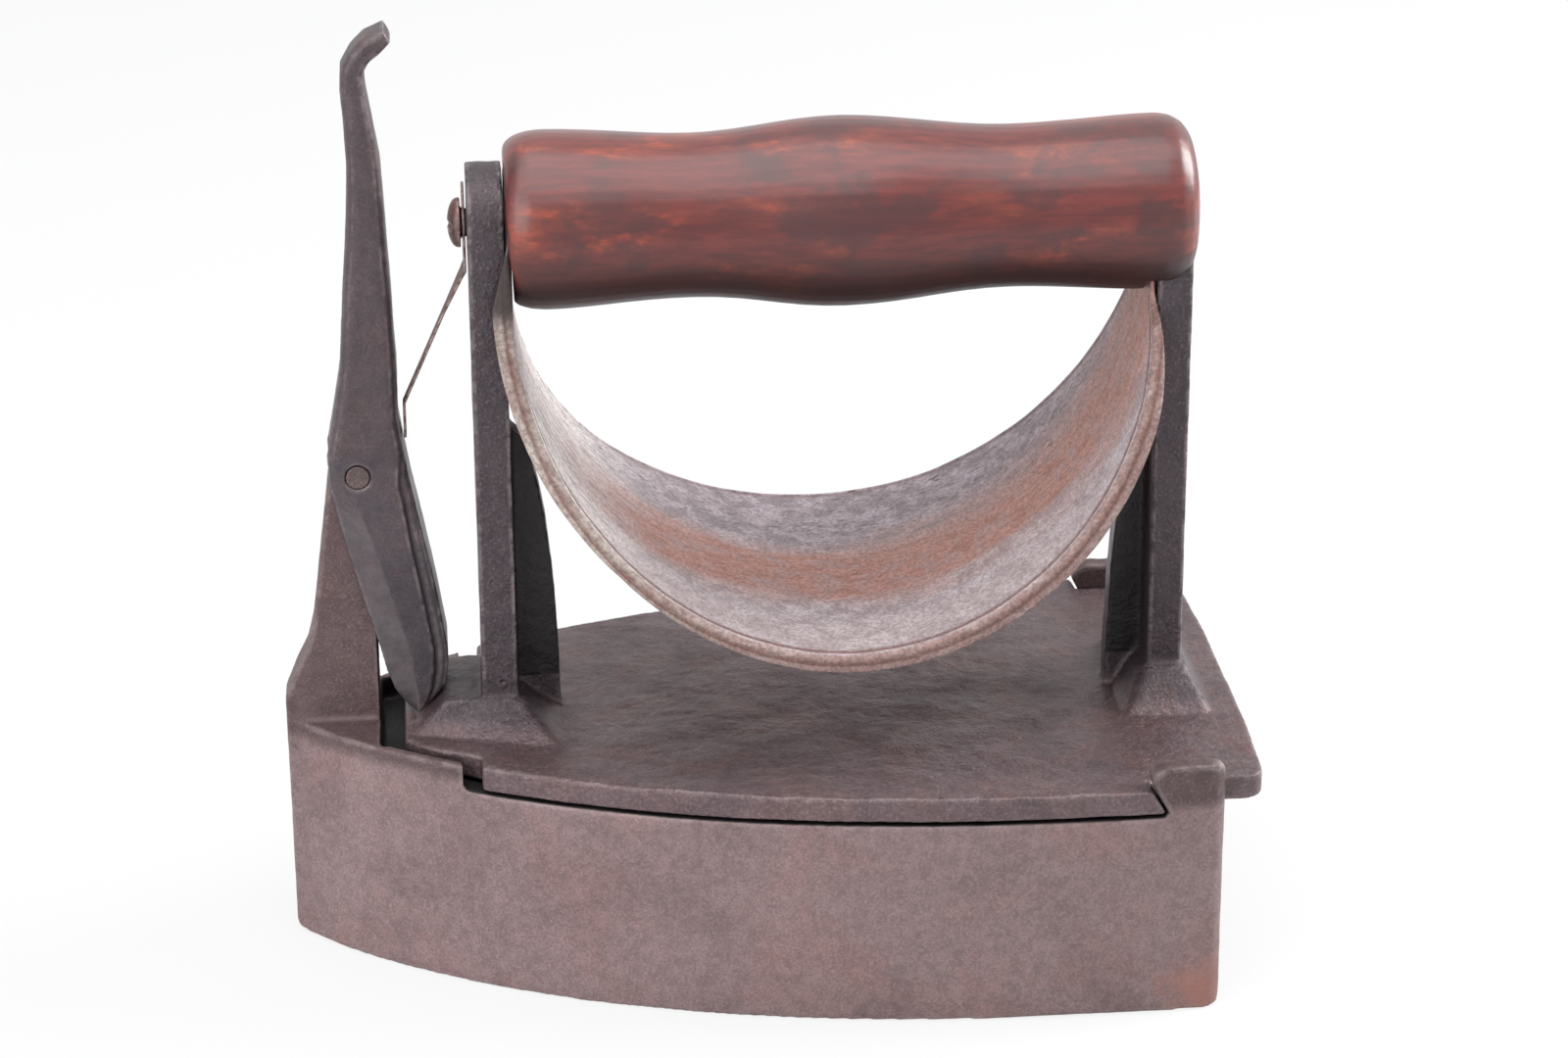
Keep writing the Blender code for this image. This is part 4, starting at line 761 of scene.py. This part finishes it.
pin = cast_skin("lever_pin", "latch_pin", 0.15 * MM, 2)
for point, facing in zip(pin.data.vertices, pin.data.vertex_normals):
    point.co += Vector((facing.vector.x, 0, facing.vector.z)) * PIN_SPREAD
dress(pin, "lever_pin", "latch", pin_iron)

# %% [markdown]
# ## Steel: spring and screw
#
# Old bright steel goes a dull brown, with bright metal only along its worn edges. The spring lies under the
# head of the long screw. When the lever is squeezed the strip gives way toward the post.

# %% Steel finish
STEEL_BROWN = colour(104, 84, 81)
STEEL_BLOTCH = colour(104, 70, 64)
STEEL_WORN = colour(180, 160, 154)
STEEL_METALLIC = 0.6
STEEL_WEAR = {"Start": 0.2, "Full": 0.6, "Break Size": 1.5 * MM}
STEEL_WEAR_SHARE = 0.7
STEEL_ROUGH = (0.38, 0.6)
BLOTCH_SIZE, SHEEN_SIZE, SCRATCH_SIZE = 2.5 * MM, 1.2 * MM, 0.5 * MM


def brown_steel(name):
    """Dull, browned steel with red-brown blotches and worn edges."""
    material, tree, shader = new_material(name)
    place = object_place(tree)
    wear = use_group(tree, arris_wear_and_painted_light, STEEL_WEAR)
    blotch = ramp(tree, noise_value(tree, place, BLOTCH_SIZE, 4.0), 0.42, 0.64)
    tone = mix_colour(tree, blotch, STEEL_BROWN, STEEL_BLOTCH)
    tone = mix_colour(tree, times(tree, wear["Edge"], STEEL_WEAR_SHARE), tone, STEEL_WORN)
    rough = ramp(tree, noise_value(tree, place, SHEEN_SIZE), 0.3, 0.7, *STEEL_ROUGH)
    bump = add(tree, "ShaderNodeBump", {"Strength": 0.35, "Distance": 0.06 * MM,
                                        "Height": noise_value(tree, place, SCRATCH_SIZE, 4.0)})
    fill(tree, shader, {"Base Color": tone, "Metallic": STEEL_METALLIC, "Roughness": rough,
                        "Normal": bump.outputs["Normal"]})
    return material


dull_steel = brown_steel("dull_steel")
print("finish:", dull_steel.name)

# %% Spring and screw
spring = cast_skin("leaf_spring", "latch_spring", 0.12 * MM, 3)
dress(spring, "leaf_spring", "lid", dull_steel)
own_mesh(spring)

screw = cast_skin("handle_screw", "grip_screw", 0.24 * MM, 3)
dress(screw, "handle_screw", "lid", dull_steel)

# %% [markdown]
# ## The heat shield
#
# The shield is one sheet bent into a half round, wide in the middle and narrow at its two tabs, with its
# rims turned down into lips. A shallow groove runs beside each bend, and the hammer left the lips uneven. A
# bent plane can't change its breadth and its lip along the way, so the sheet is built as stations along the
# bend. Each station repeats one cross-section, from the middle out: flat, groove, bend, lip. Solidify gives
# the sheet its thickness.

# %% Shield sizes
SHEET = 0.9 * MM
SHIELD_RADIUS = 57.1 * MM - SHEET / 2
SHIELD_MIDDLE_X = 16.9 * MM
SHIELD_AXIS_HEIGHT = 123.6 * MM
SHIELD_TAB_TOP = 145.2 * MM
SHIELD_HALF_WIDTH = 38.6 * MM
FRONT_TAB_HALF = 12.0 * MM
REAR_TAB_HALF = 9.2 * MM
LEAST_TAB_HALF = 3 * MM
SCREW_HOLE_RADIUS = 2.8 * MM
GRIP_HEIGHT = 136.0 * MM
LIP_DEPTH = 3.2 * MM
LEAST_LIP = 0.05 * MM
LIP_GROWTH = 2.2
# The lip's share of its full depth at places along the half round, from the front tab to the rear tab.
LIP_PLACES = (0.0, 0.12, 0.27, 0.5, 0.8, 1.0)
LIP_SHARES = (1.0, 0.9, 0.62, 0.84, 0.92, 1.0)
BEND_RADIUS = 0.9 * MM
GROOVE_INWARD, GROOVE_DEPTH, GROOVE_BREADTH = 0.5 * MM, 0.3 * MM, 0.7 * MM
# The breadth grows from the tabs with these powers of the depth, at the front and at the rear.
TAB_SHARE = 0.0801
SPREAD_POWERS = (1.2, 0.65)
print("shield is", round(2 * SHIELD_HALF_WIDTH / MM, 1), "mm broad at the middle")

# %% One cross-section
RIM_START, LEAST_FLAT = 6 * MM, 0.3
FLAT_STEPS, RIM_STEPS, BEND_STEPS = 10, 20, 5
LIP_STEPS = (0.15, 0.3, 0.45, 0.6, 0.8, 1.0)


def shield_section(half, lip):
    """One cross-section from the middle out, as (across, outward) points; every station has as many."""
    flat = max(half - RIM_START, half * LEAST_FLAT)
    points = [(flat * index / FLAT_STEPS, 0.0) for index in range(FLAT_STEPS + 1)]
    edge = half - BEND_RADIUS
    for index in range(1, RIM_STEPS + 1):
        across = flat + (edge - flat) * index / RIM_STEPS
        sunk = GROOVE_DEPTH * math.exp(-((edge - GROOVE_INWARD - across) / (GROOVE_BREADTH / 2)) ** 2)
        points.append((across, sunk * min(1.0, lip / LIP_DEPTH)))
    bend = min(BEND_RADIUS, lip)
    for index in range(1, BEND_STEPS + 1):
        angle = math.pi / 2 * index / BEND_STEPS
        points.append((edge + bend * math.sin(angle), bend * (1 - math.cos(angle))))
    return points + [(edge + bend, bend + (lip - bend) * share) for share in LIP_STEPS]


print("points in a half section:", len(shield_section(SHIELD_HALF_WIDTH, LIP_DEPTH)))

# %% Stations along the sheet
ARC_ROWS, TAB_ROWS = 150, 15
TAB_CROWDING = 1.8


def arc_stations():
    """Places round the half round, from front to rear: (x, z), outward, half width, lip."""
    stations = []
    for index in range(ARC_ROWS + 1):
        angle = math.pi + math.pi * index / ARC_ROWS
        outward = (math.cos(angle), math.sin(angle))
        rear = outward[0] > 0
        depth = max(0.0, -outward[1])
        spread = max(0.0, (depth - TAB_SHARE) / (1 - TAB_SHARE)) ** SPREAD_POWERS[rear]
        end_half = REAR_TAB_HALF if rear else FRONT_TAB_HALF
        half = end_half + (SHIELD_HALF_WIDTH - end_half) * spread
        lip = LIP_DEPTH * float(numpy.interp(index / ARC_ROWS, LIP_PLACES, LIP_SHARES))
        lip *= math.sin(math.pi / 2 * min(1.0, LIP_GROWTH * depth)) if rear else 1.0
        place = (SHIELD_MIDDLE_X + SHIELD_RADIUS * outward[0],
                 SHIELD_AXIS_HEIGHT + SHIELD_RADIUS * outward[1])
        stations.append((place, outward, half, lip))
    return stations


def tab_stations(side, full_half):
    """Places down one tab, from its round top to the half round. Only the front tab has a lip."""
    stations = []
    for index in range(TAB_ROWS):
        rise = 1 - (index / TAB_ROWS) ** TAB_CROWDING
        height = SHIELD_AXIS_HEIGHT + (SHIELD_TAB_TOP - SHIELD_AXIS_HEIGHT) * rise
        above = max(0.0, height - GRIP_HEIGHT) / (SHIELD_TAB_TOP - GRIP_HEIGHT)
        reach = max(0.0, 1 - (height - SHIELD_AXIS_HEIGHT) / (GRIP_HEIGHT - SHIELD_AXIS_HEIGHT))
        half = max(LEAST_TAB_HALF, full_half * math.sqrt(max(0.0, 1 - above ** 2)))
        place = (SHIELD_MIDDLE_X + side * SHIELD_RADIUS, height)
        stations.append((place, (side, 0.0), half, LIP_DEPTH * reach * (side < 0)))
    return stations


shield_stations = tab_stations(-1, FRONT_TAB_HALF) + arc_stations() + tab_stations(1, REAR_TAB_HALF)[::-1]
print("stations:", len(shield_stations))

# %% [markdown]
# ### From stations to a sheet
#
# Each point also keeps two facts for the finish: its place on the flat sheet, so that rust and streaks can
# follow the bend, and how dark the brown lines are that stain the sheet on both sides of each bend.

# %% Shield sheet
STAIN_LINES = ((-0.7 * MM, 0.6 * MM), (1.8 * MM, 0.25 * MM))
STAINED_LIP = 0.1 * MM


def run_past_bend(inward, out):
    """How far along the sheet a point lies past the start of the bend; negative on the flat."""
    if out >= BEND_RADIUS:
        return BEND_RADIUS * (math.pi / 2 - 1) + out
    return -inward if inward > 0 else BEND_RADIUS * math.pi / 4 - inward / 2 + out / 2


def shield_sheet():
    """The trough as one sheet of quads."""
    shape = bmesh.new()
    flat_place = shape.verts.layers.float_vector.new("flat_place")
    rim_stain = shape.verts.layers.float.new("rim_stain")
    rows, travelled, before = [], 0.0, None
    for (along, height), outward, half, lip in shield_stations:
        here = Vector((along, height))
        travelled += (here - before).length if before else 0.0
        before = here
        section = shield_section(half, max(lip, LEAST_LIP))
        row = []
        for across, out in [(-across, out) for across, out in section[:0:-1]] + section:
            point = shape.verts.new((along + outward[0] * out, across, height + outward[1] * out))
            inward = half - BEND_RADIUS - abs(across)
            on_lip = inward < -0.5 * BEND_RADIUS
            over = math.copysign(out, across) if on_lip else 0.0
            point[flat_place] = (travelled, across + over, 1.0 if on_lip else 0.0)
            run = run_past_bend(inward, out)
            stain = sum(math.exp(-((run - line) / breadth) ** 2) for line, breadth in STAIN_LINES)
            point[rim_stain] = 0.0 if lip < STAINED_LIP else min(1.0, stain)
            row.append(point)
        rows.append(row)
    for first, second in zip(rows, rows[1:]):
        for index in range(len(first) - 1):
            shape.faces.new((first[index], second[index], second[index + 1], first[index + 1]))
    print("the flat sheet is", round(travelled / MM), "mm long")
    return shape


def linked_mesh(name, shape):
    """A bmesh as a mesh object in the scene."""
    mesh = bpy.data.meshes.new(name)
    shape.to_mesh(mesh)
    shape.free()
    made = bpy.data.objects.new(name, mesh)
    bpy.context.scene.collection.objects.link(made)
    return made


# %% Sway, thickness and screw holes
SWAY_LAYERS = ((19 * MM, 0.22 * MM), (5 * MM, 0.07 * MM))
SWAY_END, SWAY_FADE = GRIP_HEIGHT - 22 * MM, 10 * MM
DRILL_SIDES = 48


def sway_sheet(sheet):
    """A slight sway of the hammered curve, which ends before the tabs."""
    for point in sheet.data.vertices:
        sway = sum(noise.noise(point.co / size) * height for size, height in SWAY_LAYERS)
        away = Vector((point.co.x - SHIELD_MIDDLE_X, 0, min(0.0, point.co.z - SHIELD_AXIS_HEIGHT)))
        point.co += away.normalized() * sway * min(1.0, max(0.0, (SWAY_END - point.co.z) / SWAY_FADE))


def build_shield():
    """The swayed sheet, thickened, with a hole in each tab for the long screw."""
    sheet = linked_mesh("shield_rough", shield_sheet())
    sway_sheet(sheet)
    thicken = sheet.modifiers.new("thicken", "SOLIDIFY")
    thicken.thickness = SHEET
    thicken.offset = 0.0
    shape = bmesh.new()
    along_screw = Matrix.Translation((SHIELD_MIDDLE_X, 0, GRIP_HEIGHT)) @ Matrix.Rotation(math.pi / 2, 4, "Y")
    bmesh.ops.create_cone(shape, cap_ends=True, segments=DRILL_SIDES, radius1=SCREW_HOLE_RADIUS,
                          radius2=SCREW_HOLE_RADIUS, depth=3 * SHIELD_RADIUS, matrix=along_screw)
    drill = linked_mesh("screw_drill", shape)
    holes = sheet.modifiers.new("holes", "BOOLEAN")
    holes.object = drill
    holes.solver = "EXACT"
    made = evaluated_copy(sheet, "shield_trough")
    bpy.data.objects.remove(drill)
    return made


shield = build_shield()
print(shield.name, "has", len(shield.data.vertices), "points")

# %% [markdown]
# ## Rusted sheet
#
# The sheet was bright once. Now a rust-orange band runs along the middle, the far side is mauve-grey and
# scaly, and the near side is rubbed pale. The toe end is the brightest, partly its own pale metal and partly
# painted light where the key light falls on its inner wall. The bands and streaks follow the sheet round its
# bend, so they are laid out by each point's place on the flat sheet and broken up by noise.

# %% Tones and patterns of the sheet
# The bright tone is partly the sheet's pale metal and partly painted light on the toe end's inner wall.
SHEET_TONES = {
    "grey": colour(148, 133, 136), "pale": colour(188, 176, 179), "near": colour(182, 164, 164),
    "far": colour(122, 110, 115), "far pale": colour(156, 144, 150), "bright": colour(234, 226, 222),
    "rust": colour(154, 106, 92), "dusty rust": colour(184, 141, 129), "streak": colour(130, 104, 98),
    "scale": colour(82, 70, 75), "toe lip": colour(154, 142, 132), "heel lip": colour(132, 101, 95),
    "lip blotch": colour(128, 102, 95), "lip streak": colour(170, 152, 146), "stain": colour(98, 62, 52),
    "grime": colour(58, 50, 50)}
WANDER = 24 * MM
# Where each tone starts and where it is full: across the sheet from its middle, or along it from the toe end.
FAR_SIDE, NEAR_SIDE = (2 * MM, 20 * MM), (-16 * MM, -26 * MM)
TOE_LIT_PALE = (84 * MM, 42 * MM)
BAND_NEAR, BAND_FAR, BAND_TOE = (-20 * MM, -8 * MM), (16 * MM, 2 * MM), (45 * MM, 80 * MM)
BAND_WIDENS, BAND_WIDENING = (105 * MM, 165 * MM), 0.6
LIP_TURNS = (60 * MM, 120 * MM)
# The grime is placed in the iron's own frame, by height and by how far it is toward the toe.
GRIME_HEIGHT, GRIME_FRONT = (119 * MM, 124 * MM), (0.0, -20 * MM)


def sheet_patterns(tree):
    """Where a point is on the flat sheet, and the noises that the whole finish shares."""
    place = object_place(tree)
    sheet = add(tree, "ShaderNodeAttribute", attribute_name="flat_place").outputs["Vector"]
    parts = split(tree, sheet)
    drawn_out = stretched(tree, sheet, (0.22, 1.0, 0.0))
    wander = calc(tree, "SUBTRACT", noise_value(tree, drawn_out, 10 * MM, 5.0), 0.5)
    wander = times(tree, wander, WANDER)
    scaly_place = stretched(tree, sheet, (0.45, 1.0, 0.0))
    return {"place": place, "along": parts["X"], "lip": parts["Z"], "wander": wander,
            "across": calc(tree, "ADD", parts["Y"], wander),
            "streaks": noise_value(tree, drawn_out, 1.6 * MM, 6.0, 0.7),
            "mottle": noise_value(tree, place, 4.5 * MM, 6.0, 0.66, 0.4),
            "grit": noise_value(tree, place, 0.7 * MM, 3.0, 0.7),
            "scales": noise_value(tree, scaly_place, 1.2 * MM, 4.0, 0.72)}


print("tones of the sheet:", len(SHEET_TONES))


# %% Ground and rust band
def sheet_ground(tree, at, tones):
    """The mottled grey sheet, mauve on the far side, paler near and brightest at the toe end, partly by
    painted light.

    Gives its tone, and the masks of the far side and of the bright end."""
    tone = mix_colour(tree, ramp(tree, at["mottle"], 0.36, 0.64), tones["grey"], tones["pale"])
    far = ramp(tree, at["across"], *FAR_SIDE)
    far_tone = mix_colour(tree, ramp(tree, at["mottle"], 0.4, 0.6), tones["far"], tones["far pale"])
    tone = mix_colour(tree, times(tree, far, 0.8), tone, far_tone)
    near = ramp(tree, at["across"], *NEAR_SIDE)
    tone = mix_colour(tree, times(tree, near, 0.4), tone, tones["near"])
    # Partly painted light: the toe end's inner wall is made near white where the key light falls on it.
    bright = ramp(tree, calc(tree, "ADD", at["along"], times(tree, at["wander"], 0.9)), *TOE_LIT_PALE)
    bright = times(tree, bright, ramp(tree, at["streaks"], 0.38, 0.52, 0.1, 1.0))
    return mix_colour(tree, bright, tone, tones["bright"]), far, bright


def rust_band(tree, at, bright):
    """Where the rust band lies. It widens toward the heel, and is faint where the sheet is bright."""
    spread = times(tree, at["across"], ramp(tree, at["along"], *BAND_WIDENS, 1.0, BAND_WIDENING))
    band = times(tree, ramp(tree, at["across"], *BAND_NEAR), ramp(tree, spread, *BAND_FAR))
    band = times(tree, band, ramp(tree, at["along"], *BAND_TOE, 0.3, 1.0))
    band = times(tree, band, ramp(tree, at["mottle"], 0.3, 0.56, 0.45, 0.95))
    return times(tree, band, calc(tree, "SUBTRACT", 1.0, times(tree, bright, 0.75)))


# %% Marks, rims and grime
def sheet_marks(tree, tone, at, far, tones):
    """Brown streaks, and dark marks of scale that are thickest on the far side."""
    tone = mix_colour(tree, times(tree, ramp(tree, at["streaks"], 0.56, 0.72), 0.35), tone, tones["streak"])
    scaly = calc(tree, "ADD", times(tree, far, 0.7), 0.15)
    scaly = times(tree, ramp(tree, at["scales"], 0.54, 0.66), scaly)
    return mix_colour(tree, scaly, tone, tones["scale"])


def sheet_rims(tree, tone, at, tones):
    """The lips have tones of their own, and brown lines stain both sides of their bends."""
    lip_tone = mix_colour(tree, ramp(tree, at["along"], *LIP_TURNS), tones["toe lip"], tones["heel lip"])
    lip_tone = mix_colour(tree, ramp(tree, at["mottle"], 0.42, 0.58), lip_tone, tones["lip blotch"])
    streaked = ramp(tree, at["streaks"], 0.48, 0.66, 0.0, 0.6)
    lip_tone = mix_colour(tree, streaked, lip_tone, tones["lip streak"])
    tone = mix_colour(tree, times(tree, at["lip"], 0.85), tone, lip_tone)
    stain = add(tree, "ShaderNodeAttribute", attribute_name="rim_stain").outputs["Fac"]
    return mix_colour(tree, times(tree, stain, 0.9), tone, tones["stain"])


def front_tab_grime(tree, tone, at, tones):
    """Hand grime on the front tab, between the post and the grip."""
    parts = split(tree, at["place"])
    grime = times(tree, ramp(tree, parts["Z"], *GRIME_HEIGHT, 0.0, 0.9), ramp(tree, parts["X"], *GRIME_FRONT))
    return mix_colour(tree, grime, tone, tones["grime"])


# %% Shield finish
SHEET_METALLIC = 0.25
SHEET_ROUGH, BAND_ROUGH = (0.44, 0.62), 0.12
GRIT_SHARE = 0.85


def make_rusted_sheet(tones):
    """The whole finish of the shield, from the ground up."""
    material, tree, shader = new_material("rusted_sheet")
    at = sheet_patterns(tree)
    tone, far, bright = sheet_ground(tree, at, tones)
    band = rust_band(tree, at, bright)
    rust = mix_colour(tree, ramp(tree, at["streaks"], 0.3, 0.74), tones["rust"], tones["dusty rust"])
    tone = mix_colour(tree, band, tone, rust)
    tone = sheet_marks(tree, tone, at, far, tones)
    tone = sheet_rims(tree, tone, at, tones)
    tone = mix_colour(tree, GRIT_SHARE, tone, ramp(tree, at["grit"], 0.36, 0.64, 0.7, 1.3), "MULTIPLY")
    tone = front_tab_grime(tree, tone, at, tones)
    rough = calc(tree, "ADD", ramp(tree, at["mottle"], 0.3, 0.7, *SHEET_ROUGH), times(tree, band, BAND_ROUGH))
    relief = calc(tree, "ADD", at["scales"], times(tree, at["grit"], 0.6))
    bump = add(tree, "ShaderNodeBump", {"Strength": 0.5, "Distance": 0.15 * MM, "Height": relief})
    fill(tree, shader, {"Base Color": tone, "Metallic": SHEET_METALLIC, "Roughness": rough,
                        "Normal": bump.outputs["Normal"]})
    return material


dress(shield, "heat_shield", "lid", make_rusted_sheet(SHEET_TONES))

# %% [markdown]
# ## The grip
#
# The grip was turned from close-grained wood, stained and polished by hands. The stain has worn through to
# red-orange wood in patches along its near side, and the underside is painted almost black as shade. The
# polish is a clear coat over the colour, so it stays glossy where the wood below is dull. It is thinner
# underneath, where nobody rubbed it.

# %% Grip finish
WOOD_TONES = {
    "dark figure": colour(84, 24, 22), "light figure": colour(108, 36, 29), "worn": colour(140, 60, 40),
    "bare": colour(178, 72, 40), "heart": colour(62, 26, 30), "pore": colour(58, 28, 28),
    "underside": colour(20, 8, 9)}
SHADE_HEIGHT, SHADE_SHARE = (136 * MM, 125 * MM), 0.92
POLISH_HEIGHT, POLISH = (124 * MM, 140 * MM), (0.15, 0.9)
WOOD_ROUGH = (0.42, 0.55)
WOOD_SPECULAR = 0.35
POLISH_ROUGHNESS = 0.3


def along_grip(tree, place, draw, size, *recipe):
    """Noise drawn out along the grip."""
    return noise_value(tree, stretched(tree, place, (draw, 1.0, 1.0)), size, *recipe)


def make_polished_wood(tones):
    """Stained wood, worn in patches, under a clear coat."""
    material, tree, shader = new_material("polished_wood")
    place = object_place(tree)
    figure = along_grip(tree, place, 0.12, 1.5 * MM, 5.0, 0.65, 0.3)
    pores = along_grip(tree, place, 0.2, 0.5 * MM, 3.0, 0.7)
    patches = along_grip(tree, place, 0.42, 10 * MM, 5.0, 0.62, 0.15)
    rubs = along_grip(tree, place, 0.35, 3 * MM, 5.0, 0.7, 0.3)
    heart = along_grip(tree, place, 0.8, 12 * MM, 4.0, 0.6, 0.2)
    height = split(tree, place)["Z"]
    tone = mix_colour(tree, ramp(tree, figure, 0.36, 0.66), tones["dark figure"], tones["light figure"])
    worn = times(tree, ramp(tree, patches, 0.49, 0.64), ramp(tree, rubs, 0.36, 0.6, 0.25, 0.7))
    tone = mix_colour(tree, worn, tone, tones["worn"])
    bare = times(tree, ramp(tree, patches, 0.54, 0.66), ramp(tree, rubs, 0.5, 0.62))
    tone = mix_colour(tree, times(tree, bare, 0.6), tone, tones["bare"])
    tone = mix_colour(tree, times(tree, ramp(tree, heart, 0.48, 0.62), 0.7), tone, tones["heart"])
    tone = mix_colour(tree, times(tree, ramp(tree, pores, 0.56, 0.72), 0.3), tone, tones["pore"])
    # Painted shade: the lower part of the grip is darkened almost to black, as it is turned away from the
    # light.
    low = times(tree, ramp(tree, height, *SHADE_HEIGHT), SHADE_SHARE)
    tone = mix_colour(tree, low, tone, tones["underside"])
    relief = calc(tree, "ADD", times(tree, figure, 0.5), times(tree, patches, 0.6))
    bump = add(tree, "ShaderNodeBump", {"Strength": 0.2, "Distance": 0.1 * MM, "Height": relief})
    fill(tree, shader, {"Base Color": tone, "Roughness": ramp(tree, patches, 0.4, 0.7, *WOOD_ROUGH),
                        "Specular IOR Level": WOOD_SPECULAR,
                        "Coat Weight": ramp(tree, height, *POLISH_HEIGHT, *POLISH),
                        "Coat Roughness": POLISH_ROUGHNESS, "Normal": bump.outputs["Normal"]})
    return material


grip = cast_skin("wooden_grip", "turned_grip", 0.5 * MM, 8)
roughen(grip, [((16, 12, 12), 0.14, EVERYWHERE)])
dress(grip, "wooden_grip", "lid", make_polished_wood(WOOD_TONES))
